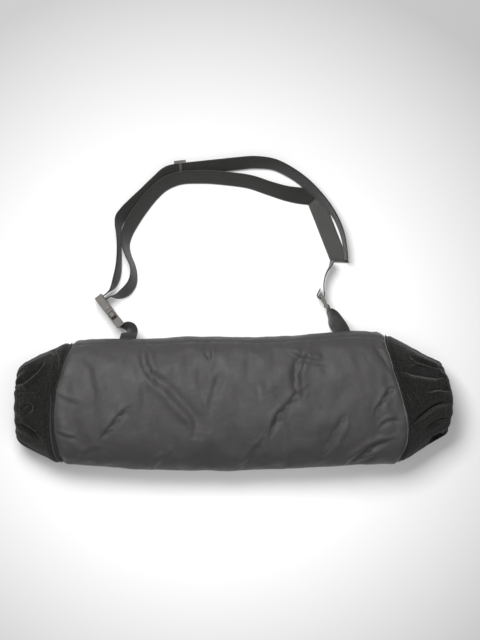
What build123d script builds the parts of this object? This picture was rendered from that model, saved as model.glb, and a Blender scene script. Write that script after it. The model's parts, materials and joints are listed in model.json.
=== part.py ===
"""Hand warmer muff: an insulated nylon tube with gathered fleece cuffs and a webbing waist belt.

Frame: millimetres, +Z up, the muff's long axis along X. The muff lies on a surface at Z = 0 with its
belt laid out towards +Y, and the origin is on the muff's flat underside, halfway along it.
"""
import os
from dataclasses import dataclass
from math import cos, hypot, radians, sin

from build123d import *

# ---------------------------------------------------------------- muff, driving dimensions
MUFF_LENGTH = 510.0          # hand opening to hand opening, along X
MUFF_HEIGHT = 76.0           # lying at rest, from the surface to the crown
FLAT_DEPTH = 3.0             # how far the round section is pressed flat where it lies
BODY_WIDTH_LEFT = 152.0      # width across Y, halfway along the left half
BODY_WIDTH_MIDDLE = 157.0
BODY_WIDTH_RIGHT = 155.5
BODY_SHIFT_LEFT = 4.5        # middle of the width behind the X axis, where the muff lies
BODY_SHIFT_MIDDLE = 4.6
BODY_SHIFT_RIGHT = 8.3
CUFF_LENGTH_LEFT = 55.0
CUFF_LENGTH_RIGHT = 65.0
SEAM_WIDTH_LEFT = 137.5      # width where the nylon meets the fleece
SEAM_WIDTH_RIGHT = 146.0
SEAM_SHIFT_LEFT = 3.7
SEAM_SHIFT_RIGHT = 8.5
SEAM_HEIGHT = 68.0
CUFF_WIDTH_LEFT = 116.0      # width halfway along the cuff
CUFF_WIDTH_RIGHT = 117.0
CUFF_HEIGHT = 60.0
CUFF_LIFT = 2.0              # bottom of the cuff above the surface, halfway along it
OPENING_WIDTH_LEFT = 78.0    # gathered hand opening, over the fleece
OPENING_WIDTH_RIGHT = 88.0
OPENING_SHIFT_LEFT = 4.0
OPENING_SHIFT_RIGHT = 10.0
OPENING_HEIGHT = 50.0
OPENING_LIFT = 8.0           # bottom of the hand opening above the surface

# ---------------------------------------------------------------- muff, walls and trim
SHELL_WALL = 1.0
INSULATION_WALL = 9.0
LINING_WALL = 2.4
LAYER_GAP = 0.3
CUFF_WALL_AT_OPENING = 6.8   # two turns of fleece with the elastic between them
CUFF_WALL_HALFWAY = 7.0
ELASTIC_WIDTH = 8.0
ELASTIC_THICKNESS = 1.2
ELASTIC_COVER = 2.8          # fleece over the elastic
ELASTIC_SETBACK = 2.6        # from the edge of the opening to the elastic
CASING_CLEARANCE = 0.3
THREAD_HEIGHT = 0.5
THREAD_LIFT = 0.1            # threads lie just clear of the cloth
HEM_THREAD_WIDTH = 1.0
HEM_THREAD_SETBACK = 13.0
SEAM_BINDING_WIDTH = 2.4
SEAM_BINDING_HEIGHT = 0.9
SEAM_BINDING_LIFT = 0.35
TOPSTITCH_LENGTH = 300.0
TOPSTITCH_Z = 50.0
TOPSTITCH_WIDTH = 1.2

# ---------------------------------------------------------------- belt, driving dimensions
WEBBING_WIDTH = 20.0
WEBBING_THICKNESS = 1.3
WEBBING_TILT = 40.0          # lean of the belt from the surface, outer edge up
OUTER_RUN_Z = 10.0           # middle of the outer run above the surface
INNER_RUN_Z = 7.2
BELT_SWING_Y = 88.5          # line where the anchor straps flex
BELT_SWING_Z = 37.0
ANCHOR_LEFT_X = -128.0
ANCHOR_RIGHT_X = 127.0
ANCHOR_SEWN_DEPTH = 7.0      # webbing held inside the seam
ANCHOR_FLEX_RADIUS = 2.2     # free length of webbing at the flex line
ANCHOR_FLEX_CLEARANCE = 0.4
ANCHOR_STUB_LENGTH = 7.0     # webbing still on its edge past the bar
STRAP_BUCKLE_CLEARANCE = 0.5
SEAM_SLOT_CLEARANCE = 0.2
BARTACK_LENGTH = 22.0
BARTACK_WIDTH = 2.6
BARTACK_RISE = 5.0           # from the flex line up to the bartack
OUTER_RUN_UPRIGHT = [(-146, 135), (-134.5, 160), (-134.5, 192)]
OUTER_RUN_LEANING = [(-134.5, 186), (-135.5, 219.5), (-76, 276), (25, 287), (50, 284), (100, 246),
                     (121, 206), (129, 176)]
INNER_RUN_UPRIGHT = [(-142.5, 129.5), (-118, 148), (-118, 174)]
INNER_RUN_LEANING = [(-118, 168), (-125, 197), (-119, 216), (-94, 248.5), (-64, 267), (-6, 266.5),
                     (29, 260), (56, 250), (87, 245)]
FLAT_RUN_START = (96.0, 242.0)
FLAT_RUN_END = (123.0, 172.0)
TAIL_ROUTE = [(113.5, 166.5), (107, 153), (103.3, 134.5)]
WIDE_BEND = 24.0             # bend radii of the runs of webbing
SHARP_BEND = 14.0
HEM_STITCH_SETBACK = 4.0
HEM_STITCH_WIDTH = 1.2
HEM_STITCH_MARGIN = 1.0

# ---------------------------------------------------------------- side-release buckle
BUCKLE_START = (-131.6, 94.8)    # bar end of the socket
BUCKLE_ANGLE = 127.4             # heading of the buckle, socket to plug, from +X
BUCKLE_RAIL = 2.6                # rail beside the webbing
WEBBING_SIDE_CLEARANCE = 0.4
BUCKLE_THICKNESS = 9.5
SOCKET_LENGTH = 24.0
SOCKET_FACE_WALL = 1.5
SOCKET_SIDE_WALL = 2.2
SOCKET_CAVITY_START = 8.6
WINDOW_START = 10.4
WINDOW_END = 20.6
BAR_RADIUS = 1.4
BAR_INSET = 1.6                  # bar centre from the end of the socket
STRAP_SLOT_END = 7.2
PLUG_GAP = 0.4
PLUG_LENGTH = 19.6
PLUG_BASE_LENGTH = 7.4
PLUG_END_BAR = 2.4
PLUG_BAR_FROM_END = 6.0
TONGUE_WIDTH = 5.0
TONGUE_THICKNESS = 3.0
TONGUE_TIP = 11.5
LATCH_PIVOT = 29.0               # along the buckle, where each arm flexes
LATCH_ROOT_RADIUS = 1.9
LATCH_ROOT_CLEARANCE = 0.3
LATCH_ARM_WIDTH = 3.2
LATCH_ARM_INSET = 3.4            # arm's outer edge from the side of the buckle
LATCH_ARM_THICKNESS = 5.2
LATCH_TIP = 11.2
LATCH_SHOULDER = 19.8
LATCH_PAD_INSET = 0.8
LATCH_SWEEP_CLEARANCE = 1.0
BUCKLE_EDGE_ROUND = 0.8

# ---------------------------------------------------------------- tri-glide and end ring
GLIDE_POSITION = 14.5            # along the straight part of the outer run
GLIDE_LENGTH = 14.0
GLIDE_BAR = 2.6
GLIDE_CENTRE_BAR = 3.0
GLIDE_RAIL = 1.8
GLIDE_SIDE_CLEARANCE = 0.5
GLIDE_FACE_CLEARANCE = 0.25
GLIDE_BAR_THICKNESS = 1.5
RING_ANCHOR_BAR = (109.0, 117.5)
RING_ANGLE = 117.0
RING_BAR_SPACING = 15.0
RING_BAR_RADIUS = 1.6
RING_RAIL_HEIGHT = 2.6
RING_RAIL_WIDTH = 3.8
STRAP_BAR_CLEARANCE = 0.4
TAIL_LOOP_SLACK = 1.9            # lets the ring swing in the tail's loop
LOOP_LEG_LENGTH = 8.0

BIG = 2000.0                     # larger than the whole object, for cutting boxes

# ---------------------------------------------------------------- worked out from the above
LEFT_END = -MUFF_LENGTH / 2
RIGHT_END = MUFF_LENGTH / 2
LEFT_SEAM = LEFT_END + CUFF_LENGTH_LEFT
RIGHT_SEAM = RIGHT_END - CUFF_LENGTH_RIGHT
WALL = SHELL_WALL + INSULATION_WALL + LINING_WALL + 2 * LAYER_GAP
BUCKLE_WIDTH = WEBBING_WIDTH + 2 * (BUCKLE_RAIL + WEBBING_SIDE_CLEARANCE)
BUCKLE_MIDDLE = BUCKLE_WIDTH / 2
PLUG_START = SOCKET_LENGTH + PLUG_GAP
PLUG_END = PLUG_START + PLUG_LENGTH
PLUG_BAR = PLUG_END - PLUG_BAR_FROM_END
LOOP_INNER_RADIUS = BAR_RADIUS + STRAP_BAR_CLEARANCE
LOOP_OUTER_RADIUS = LOOP_INNER_RADIUS + WEBBING_THICKNESS
RING_HEIGHT = WEBBING_WIDTH + 2 * (RING_RAIL_HEIGHT + WEBBING_SIDE_CLEARANCE)


@dataclass(frozen=True)
class Station:
    """One elliptical section across the muff."""

    x: float
    y: float
    z: float
    half_width: float
    half_height: float


def station(x, shift, width, height, bottom):
    """Give the station whose section is width by height and starts at bottom."""
    return Station(x, shift, bottom + height / 2, width / 2, height / 2)


FULL_HEIGHT = MUFF_HEIGHT + FLAT_DEPTH
SEAM_FULL_HEIGHT = SEAM_HEIGHT + FLAT_DEPTH
SEAM_LEFT_STATION = station(LEFT_SEAM, SEAM_SHIFT_LEFT, SEAM_WIDTH_LEFT, SEAM_FULL_HEIGHT, -FLAT_DEPTH)
SEAM_RIGHT_STATION = station(RIGHT_SEAM, SEAM_SHIFT_RIGHT, SEAM_WIDTH_RIGHT, SEAM_FULL_HEIGHT, -FLAT_DEPTH)
BODY_STATIONS = [
    SEAM_LEFT_STATION,
    station(LEFT_SEAM / 2, BODY_SHIFT_LEFT, BODY_WIDTH_LEFT, FULL_HEIGHT, -FLAT_DEPTH),
    station(0, BODY_SHIFT_MIDDLE, BODY_WIDTH_MIDDLE, FULL_HEIGHT, -FLAT_DEPTH),
    station(RIGHT_SEAM / 2, BODY_SHIFT_RIGHT, BODY_WIDTH_RIGHT, FULL_HEIGHT, -FLAT_DEPTH),
    SEAM_RIGHT_STATION,
]
LEFT_CUFF_STATIONS = [
    station(LEFT_END, OPENING_SHIFT_LEFT, OPENING_WIDTH_LEFT, OPENING_HEIGHT, OPENING_LIFT),
    station(LEFT_END + CUFF_LENGTH_LEFT / 2, (OPENING_SHIFT_LEFT + SEAM_SHIFT_LEFT) / 2,
            CUFF_WIDTH_LEFT, CUFF_HEIGHT, CUFF_LIFT),
    SEAM_LEFT_STATION,
]
RIGHT_CUFF_STATIONS = [
    SEAM_RIGHT_STATION,
    station(RIGHT_END - CUFF_LENGTH_RIGHT / 2, (OPENING_SHIFT_RIGHT + SEAM_SHIFT_RIGHT) / 2,
            CUFF_WIDTH_RIGHT, CUFF_HEIGHT, CUFF_LIFT),
    station(RIGHT_END, OPENING_SHIFT_RIGHT, OPENING_WIDTH_RIGHT, OPENING_HEIGHT, OPENING_LIFT),
]


# ---------------------------------------------------------------- shared helpers
def block(x_low, x_high, y_low, y_high, z_low, z_high):
    """Make a box from its lowest and highest corner values."""
    centre = Pos((x_low + x_high) / 2, (y_low + y_high) / 2, (z_low + z_high) / 2)
    return centre * Box(x_high - x_low, y_high - y_low, z_high - z_low)


def slab(x_low, x_high):
    """Everything between two planes across the muff."""
    return block(x_low, x_high, -BIG, BIG, -BIG, BIG)


def above(height):
    """Everything above a level."""
    return block(-BIG, BIG, -BIG, BIG, height, BIG)


def section(place, inset):
    """Elliptical face at a station, shrunk all round by inset."""
    plane = Plane(origin=(place.x, place.y, place.z), x_dir=(0, 1, 0), z_dir=(1, 0, 0))
    return plane * Ellipse(place.half_width - inset, place.half_height - inset)


def lofted(stations, insets):
    """Solid through the stations, each shrunk by its own inset, pressed flat underneath."""
    faces = [section(place, inset) for place, inset in zip(stations, insets)]
    return loft(faces)


def body_volume(inset):
    """Solid of the nylon body shrunk by inset, its flat underside raised by as much."""
    return lofted(BODY_STATIONS, [inset] * len(BODY_STATIONS)) & above(inset)


def cuff_volume(stations, inset):
    """Solid of one cuff shrunk by inset, its flat underside raised by as much."""
    return lofted(stations, [inset] * len(stations)) & above(max(inset, 0))


def vertical(point, radius, z_low, z_high):
    """Upright cylinder at a point of the plan."""
    return Pos(point[0], point[1], (z_low + z_high) / 2) * Cylinder(radius, z_high - z_low)


# ---------------------------------------------------------------- muff
def anchor_slot(x):
    """Gap in the back seam that one sewn webbing end passes through."""
    half_width = WEBBING_WIDTH / 2 + SEAM_SLOT_CLEARANCE
    half_gap = WEBBING_THICKNESS / 2 + SEAM_SLOT_CLEARANCE
    return block(x - half_width, x + half_width, 0, BIG, BELT_SWING_Z - half_gap, BELT_SWING_Z + half_gap)


def edge_at(x):
    """Back edge of the nylon at x, on straight lines between the stations."""
    for low, high in zip(BODY_STATIONS, BODY_STATIONS[1:]):
        if low.x <= x <= high.x:
            share = (x - low.x) / (high.x - low.x)
            low_edge = low.y + low.half_width
            high_edge = high.y + high.half_width
            return low_edge + share * (high_edge - low_edge)
    raise ValueError("no station holds this x")


def sewn_pocket(x):
    """Room for one sewn webbing end, no deeper than the webbing needs."""
    bottom = edge_at(x) - ANCHOR_SEWN_DEPTH - SEAM_SLOT_CLEARANCE
    return anchor_slot(x) & block(-BIG, BIG, bottom, BIG, -BIG, BIG)


def make_shell():
    """Nylon outer tube with the two gaps in its back seam."""
    tube = body_volume(0) - body_volume(SHELL_WALL)
    return tube - sewn_pocket(ANCHOR_LEFT_X) - sewn_pocket(ANCHOR_RIGHT_X)


def make_insulation():
    """Batting tube between the nylon and the lining."""
    outer = SHELL_WALL + LAYER_GAP
    tube = body_volume(outer) - body_volume(outer + INSULATION_WALL)
    return tube - sewn_pocket(ANCHOR_LEFT_X) - sewn_pocket(ANCHOR_RIGHT_X)


def make_lining():
    """Fleece tube that the hands touch."""
    return body_volume(WALL - LINING_WALL) - body_volume(WALL)


def casing_slab(stations, is_left, start, width):
    """Slab across one cuff, start from its opening and width wide."""
    if is_left:
        return slab(stations[0].x + start, stations[0].x + start + width)
    return slab(stations[-1].x - start - width, stations[-1].x - start)


def cuff_insets(is_left):
    """Wall of a cuff at its stations."""
    insets = [CUFF_WALL_AT_OPENING, CUFF_WALL_HALFWAY, WALL]
    return insets if is_left else insets[::-1]


def make_cuff(stations, is_left):
    """Fleece cuff whose turned-in end holds the elastic in a closed casing."""
    hollow = lofted(stations, cuff_insets(is_left)) & above(WALL)
    wall = cuff_volume(stations, 0) - hollow
    casing = cuff_volume(stations, ELASTIC_COVER) - cuff_volume(
        stations, ELASTIC_COVER + ELASTIC_THICKNESS + 2 * CASING_CLEARANCE)
    start = ELASTIC_SETBACK - CASING_CLEARANCE
    return wall - (casing & casing_slab(stations, is_left, start, ELASTIC_WIDTH + 2 * CASING_CLEARANCE))


def make_elastic(stations, is_left):
    """Elastic band inside a cuff's casing."""
    outer = ELASTIC_COVER + CASING_CLEARANCE
    band = cuff_volume(stations, outer) - cuff_volume(stations, outer + ELASTIC_THICKNESS)
    return band & casing_slab(stations, is_left, ELASTIC_SETBACK, ELASTIC_WIDTH)


def make_hem_thread(stations, is_left):
    """Row of stitching that closes a cuff's casing."""
    outer = lofted(stations, [-THREAD_LIFT - THREAD_HEIGHT] * len(stations))
    inner = lofted(stations, [-THREAD_LIFT] * len(stations))
    row = (outer - inner) & above(0)
    return row & casing_slab(stations, is_left, HEM_THREAD_SETBACK, HEM_THREAD_WIDTH)


def make_seam_binding(place):
    """Overlocked edge round the seam between nylon and fleece, open where the muff lies."""
    outer = section(place, -SEAM_BINDING_LIFT - SEAM_BINDING_HEIGHT)
    inner = section(place, -SEAM_BINDING_LIFT)
    ring = extrude(outer - inner, amount=SEAM_BINDING_WIDTH / 2, both=True)
    return ring & above(0)


def on_back_surface(rise, box):
    """Part of a thin skin over the nylon that lies inside a box."""
    skin = body_volume(-THREAD_LIFT - rise) - body_volume(-THREAD_LIFT)
    return skin & box


def make_topstitch():
    """Row of stitching along the back seam."""
    half = TOPSTITCH_LENGTH / 2
    line = block(-half, half, 0, BIG, TOPSTITCH_Z, TOPSTITCH_Z + TOPSTITCH_WIDTH)
    return on_back_surface(THREAD_HEIGHT, line)


def make_bartack(x):
    """Dense stitching over one sewn webbing end."""
    low = BELT_SWING_Z + BARTACK_RISE
    line = block(x - BARTACK_LENGTH / 2, x + BARTACK_LENGTH / 2, 0, BIG, low, low + BARTACK_WIDTH)
    return on_back_surface(THREAD_HEIGHT, line)


# ---------------------------------------------------------------- webbing
def make_sewn_end(x):
    """End of an anchor strap, held in the seam and showing up to the flex line."""
    half = WEBBING_THICKNESS / 2
    front = BELT_SWING_Y - ANCHOR_FLEX_CLEARANCE
    back = edge_at(x) - ANCHOR_SEWN_DEPTH
    half_width = WEBBING_WIDTH / 2
    return block(x - half_width, x + half_width, back, front, BELT_SWING_Z - half, BELT_SWING_Z + half)


def webbing_along(route, radius, height, tilt):
    """Webbing swept along a level route, its left edge raised by tilt degrees."""
    points = [(x, y, height) for x, y in route]
    path = FilletPolyline(*points, radius=radius)
    heading = path % 0
    left = Vector(-heading.Y, heading.X, 0)
    width_direction = left * cos(radians(tilt)) + Vector(0, 0, 1) * sin(radians(tilt))
    start = Plane(origin=path @ 0, x_dir=width_direction, z_dir=heading)
    return sweep(start * Rectangle(WEBBING_WIDTH, WEBBING_THICKNESS), path=path)


def make_outer_run():
    """Belt from the buckle's loop through the tri-glide to the hem."""
    upright = webbing_along(OUTER_RUN_UPRIGHT, WIDE_BEND, WEBBING_WIDTH / 2, 90)
    leaning = webbing_along(OUTER_RUN_LEANING, SHARP_BEND, OUTER_RUN_Z, WEBBING_TILT)
    return upright + leaning


def make_inner_run():
    """Belt from the buckle's loop back to the folded flat stretch."""
    upright = webbing_along(INNER_RUN_UPRIGHT, SHARP_BEND, WEBBING_WIDTH / 2, 90)
    leaning = webbing_along(INNER_RUN_LEANING, WIDE_BEND, INNER_RUN_Z, WEBBING_TILT)
    return upright + leaning


def flat_run_plane():
    """Plane on the surface, its x along the flat stretch from the fold to the hem."""
    heading = (FLAT_RUN_END[0] - FLAT_RUN_START[0], FLAT_RUN_END[1] - FLAT_RUN_START[1], 0)
    return Plane(origin=(*FLAT_RUN_START, 0), x_dir=heading, z_dir=(0, 0, 1))


def flat_run_length():
    """Length of the flat stretch."""
    return hypot(FLAT_RUN_END[0] - FLAT_RUN_START[0], FLAT_RUN_END[1] - FLAT_RUN_START[1])


def make_flat_run():
    """Folded stretch of the belt that lies flat."""
    half = WEBBING_WIDTH / 2
    return flat_run_plane() * block(0, flat_run_length(), -half, half, 0, WEBBING_THICKNESS)


def make_hem_stitch():
    """Stitching across the end of the flat stretch."""
    end = flat_run_length() - HEM_STITCH_SETBACK
    half = WEBBING_WIDTH / 2 - HEM_STITCH_MARGIN
    low = WEBBING_THICKNESS + THREAD_LIFT
    row = block(end - HEM_STITCH_WIDTH, end, -half, half, low, low + THREAD_HEIGHT)
    return flat_run_plane() * row


def strap_loop(point, inner_radius, z_low):
    """Webbing turned round an upright bar, without the hole for the bar."""
    return vertical(point, inner_radius + WEBBING_THICKNESS, z_low, z_low + WEBBING_WIDTH)


def make_tail():
    """Short strap from the hem to the end ring, standing on its edge."""
    low = RING_RAIL_HEIGHT + WEBBING_SIDE_CLEARANCE
    inner = RING_BAR_RADIUS + TAIL_LOOP_SLACK
    point = ring_tail_bar()
    run = webbing_along(TAIL_ROUTE, SHARP_BEND, low + WEBBING_WIDTH / 2, 90)
    return run + strap_loop(point, inner, low) - vertical(point, inner, -BIG, BIG)


def anchor_strap(x, bar, inner_radius, z_low, heading):
    """Strap from the flex line down to a loop round an upright bar.

    The strap leaves the bar standing on its edge, along heading, and turns flat towards the muff.
    """
    top = Vector(x, BELT_SWING_Y, BELT_SWING_Z)
    stub_end = Vector(*bar, 0) + heading * ANCHOR_STUB_LENGTH
    bottom = Vector(stub_end.X, stub_end.Y, z_low + WEBBING_WIDTH / 2)
    rise = top - bottom
    slope = rise.normalized()
    across = Vector(1, 0, 0) - slope * slope.X
    plane = Plane(origin=bottom, x_dir=across, z_dir=slope)
    plate = extrude(plane * Rectangle(WEBBING_WIDTH, WEBBING_THICKNESS), amount=rise.length)
    flex = Pos(0, BELT_SWING_Y, BELT_SWING_Z) * Rot(0, 90, 0) * Cylinder(ANCHOR_FLEX_RADIUS, BIG)
    outside = block(-BIG, BIG, BELT_SWING_Y, BIG, z_low, BIG)
    stub_plane = Plane(origin=(*bar, z_low), x_dir=heading, z_dir=(0, 0, 1))
    half = WEBBING_THICKNESS / 2
    stub = stub_plane * block(0, ANCHOR_STUB_LENGTH, -half, half, 0, WEBBING_WIDTH)
    loop = strap_loop(bar, inner_radius, z_low)
    return ((plate & outside) - flex) + stub + loop - vertical(bar, inner_radius, -BIG, BIG)


def buckle_keep_out():
    """Room that the socket takes, with clearance."""
    half = BUCKLE_THICKNESS / 2 + STRAP_BUCKLE_CLEARANCE
    top = BUCKLE_WIDTH + STRAP_BUCKLE_CLEARANCE
    room = block(-STRAP_BUCKLE_CLEARANCE, SOCKET_LENGTH, -half, half, -BIG, top)
    return buckle_plane() * room


def make_anchor_left_strap():
    """Strap that holds the buckle's socket."""
    low = BUCKLE_RAIL + WEBBING_SIDE_CLEARANCE
    bar = buckle_point(BAR_INSET)
    strap = anchor_strap(ANCHOR_LEFT_X, bar, LOOP_INNER_RADIUS, low, -buckle_plane().x_dir)
    loop_room = vertical(bar, LOOP_OUTER_RADIUS, low, low + WEBBING_WIDTH)
    return strap - (buckle_keep_out() - loop_room)


def make_anchor_right_strap():
    """Strap that holds the end ring."""
    low = RING_RAIL_HEIGHT + WEBBING_SIDE_CLEARANCE
    towards_muff = Vector(ANCHOR_RIGHT_X - RING_ANCHOR_BAR[0], BELT_SWING_Y - RING_ANCHOR_BAR[1], 0)
    inner = RING_BAR_RADIUS + STRAP_BAR_CLEARANCE
    return anchor_strap(ANCHOR_RIGHT_X, RING_ANCHOR_BAR, inner, low, towards_muff.normalized())


# ---------------------------------------------------------------- buckle
def buckle_plane():
    """Plane on the surface with x along the buckle, from socket to plug."""
    heading = (cos(radians(BUCKLE_ANGLE)), sin(radians(BUCKLE_ANGLE)), 0)
    return Plane(origin=(*BUCKLE_START, 0), x_dir=heading, z_dir=(0, 0, 1))


def buckle_point(along):
    """Point of the plan on the buckle's middle line."""
    angle = radians(BUCKLE_ANGLE)
    return BUCKLE_START[0] + along * cos(angle), BUCKLE_START[1] + along * sin(angle)


def make_socket():
    """Female half: a flat sleeve with a window in each side and a bar for the anchor strap."""
    half = BUCKLE_THICKNESS / 2
    inner = half - SOCKET_FACE_WALL
    sleeve = block(0, SOCKET_LENGTH, -half, half, 0, BUCKLE_WIDTH)
    sleeve = fillet(sleeve.edges().filter_by(Axis.X), BUCKLE_EDGE_ROUND)
    cavity = block(SOCKET_CAVITY_START, BIG, -inner, inner, SOCKET_SIDE_WALL, BUCKLE_WIDTH - SOCKET_SIDE_WALL)
    windows = block(WINDOW_START, WINDOW_END, -inner, inner, -BIG, BIG)
    strap_room = block(-BIG, STRAP_SLOT_END, -BIG, BIG, BUCKLE_RAIL, BUCKLE_WIDTH - BUCKLE_RAIL)
    bar = vertical((BAR_INSET, 0), BAR_RADIUS, BUCKLE_RAIL / 2, BUCKLE_WIDTH - BUCKLE_RAIL / 2)
    return buckle_plane() * (sleeve - cavity - windows - strap_room + bar)


def latch_height(side):
    """Height of an arm's pivot; side is -1 for the lower arm, 1 for the upper."""
    return BUCKLE_MIDDLE + side * (BUCKLE_MIDDLE - LATCH_ARM_INSET - LATCH_ARM_WIDTH / 2)


def latch_room(side):
    """Room in the plug for one arm, its root and its squeeze."""
    height = latch_height(side)
    half_thickness = LATCH_ARM_THICKNESS / 2 + LATCH_ROOT_CLEARANCE
    reach = LATCH_ARM_WIDTH / 2 + LATCH_SWEEP_CLEARANCE
    corridor = block(0, LATCH_PIVOT, -half_thickness, half_thickness, height - reach, height + reach)
    radius = LATCH_ROOT_RADIUS + LATCH_ROOT_CLEARANCE
    root = Pos(LATCH_PIVOT, 0, height) * Rot(90, 0, 0) * Cylinder(radius, 2 * half_thickness)
    return corridor + root


def make_plug():
    """Male half: a frame with two webbing bars, a guide tongue and room for the two arms."""
    half = BUCKLE_THICKNESS / 2
    frame = block(PLUG_START, PLUG_END, -half, half, 0, BUCKLE_WIDTH)
    frame = fillet(frame.edges().filter_by(Axis.X), BUCKLE_EDGE_ROUND)
    slot_start = PLUG_START + PLUG_BASE_LENGTH
    slot = block(slot_start, PLUG_END - PLUG_END_BAR, -BIG, BIG, BUCKLE_RAIL, BUCKLE_WIDTH - BUCKLE_RAIL)
    bar = vertical((PLUG_BAR, 0), BAR_RADIUS, BUCKLE_RAIL / 2, BUCKLE_WIDTH - BUCKLE_RAIL / 2)
    tongue = block(TONGUE_TIP, PLUG_START + 1, -TONGUE_THICKNESS / 2, TONGUE_THICKNESS / 2,
                   BUCKLE_MIDDLE - TONGUE_WIDTH / 2, BUCKLE_MIDDLE + TONGUE_WIDTH / 2)
    solid = frame - slot - latch_room(-1) - latch_room(1) + bar + tongue
    return buckle_plane() * solid


def make_latch_arm(side):
    """Spring arm with its thumb pad and locking shoulder."""
    height = latch_height(side)
    outer = side * (BUCKLE_MIDDLE - LATCH_ARM_INSET)
    inner = outer - side * LATCH_ARM_WIDTH
    pad = side * (BUCKLE_MIDDLE - LATCH_PAD_INSET)
    outline = [
        (LATCH_PIVOT, inner),
        (LATCH_TIP + LATCH_ARM_WIDTH / 2, inner),
        (LATCH_TIP, (inner + outer) / 2),
        (LATCH_TIP + LATCH_ARM_WIDTH / 2, outer),
        (LATCH_TIP + LATCH_ARM_WIDTH, pad),
        (LATCH_SHOULDER, pad),
        (LATCH_SHOULDER, outer),
        (LATCH_PIVOT, outer),
    ]
    plane = Plane(origin=(0, 0, BUCKLE_MIDDLE), x_dir=(1, 0, 0), z_dir=(0, -1, 0))
    profile = plane * make_face(Polyline(*outline, close=True))
    arm = extrude(profile, amount=LATCH_ARM_THICKNESS / 2, both=True)
    root = Pos(LATCH_PIVOT, 0, height) * Rot(90, 0, 0) * Cylinder(LATCH_ROOT_RADIUS, LATCH_ARM_THICKNESS)
    return buckle_plane() * (arm + root)


def make_buckle_loop():
    """Webbing turned round the plug's bar, with the start of both runs."""
    low = BUCKLE_RAIL + WEBBING_SIDE_CLEARANCE
    high = low + WEBBING_WIDTH
    loop = vertical((PLUG_BAR, 0), LOOP_OUTER_RADIUS, low, high)
    legs = block(PLUG_BAR - LOOP_OUTER_RADIUS, PLUG_BAR + LOOP_OUTER_RADIUS, -LOOP_LEG_LENGTH, 0, low, high)
    gap = block(PLUG_BAR - LOOP_INNER_RADIUS, PLUG_BAR + LOOP_INNER_RADIUS, -BIG, 0, low, high)
    hole = vertical((PLUG_BAR, 0), LOOP_INNER_RADIUS, -BIG, BIG)
    return buckle_plane() * (loop + legs - gap - hole)


# ---------------------------------------------------------------- tri-glide and end ring
def glide_plane():
    """Plane at the tri-glide: x along the belt, y across the webbing to its raised edge."""
    start, end = OUTER_RUN_LEANING[2], OUTER_RUN_LEANING[3]
    length = hypot(end[0] - start[0], end[1] - start[1])
    heading = Vector((end[0] - start[0]) / length, (end[1] - start[1]) / length, 0)
    place = Vector(*start, OUTER_RUN_Z) + heading * GLIDE_POSITION
    left = Vector(-heading.Y, heading.X, 0)
    tilt = radians(WEBBING_TILT)
    across = left * cos(tilt) + Vector(0, 0, 1) * sin(tilt)
    return Plane(origin=place, x_dir=heading, z_dir=heading.cross(across))


def make_tri_glide():
    """Adjuster frame: the webbing runs over its outer bars and under its middle bar."""
    half = GLIDE_LENGTH / 2
    inner = WEBBING_WIDTH / 2 + GLIDE_SIDE_CLEARANCE
    outer = inner + GLIDE_RAIL
    near = WEBBING_THICKNESS / 2 + GLIDE_FACE_CLEARANCE
    far = near + GLIDE_BAR_THICKNESS
    rails = block(-half, half, -outer, outer, -far, far) - block(-BIG, BIG, -inner, inner, -BIG, BIG)
    rails = fillet(rails.edges().filter_by(Axis.X), 0.5)
    under = block(-half, -half + GLIDE_BAR, -inner - 0.5, inner + 0.5, -far, -near)
    over = block(-GLIDE_CENTRE_BAR / 2, GLIDE_CENTRE_BAR / 2, -inner - 0.5, inner + 0.5, near, far)
    return glide_plane() * (rails + under + Pos(GLIDE_LENGTH - GLIDE_BAR, 0, 0) * under + over)


def ring_tail_bar():
    """Point of the plan where the ring's far bar stands."""
    angle = radians(RING_ANGLE)
    return (RING_ANCHOR_BAR[0] + RING_BAR_SPACING * cos(angle),
            RING_ANCHOR_BAR[1] + RING_BAR_SPACING * sin(angle))


def make_end_ring():
    """Rectangular ring standing on its edge between the anchor strap and the tail."""
    tail_bar = ring_tail_bar()
    middle = Pos((RING_ANCHOR_BAR[0] + tail_bar[0]) / 2, (RING_ANCHOR_BAR[1] + tail_bar[1]) / 2, 0)
    outline = SlotCenterToCenter(RING_BAR_SPACING, RING_RAIL_WIDTH)
    rail = middle * Rot(0, 0, RING_ANGLE) * extrude(outline, amount=RING_RAIL_HEIGHT)
    rails = rail + Pos(0, 0, RING_HEIGHT - RING_RAIL_HEIGHT) * rail
    bars = [vertical(point, RING_BAR_RADIUS, 0, RING_HEIGHT) for point in (RING_ANCHOR_BAR, tail_bar)]
    return rails + bars[0] + bars[1]


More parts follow.
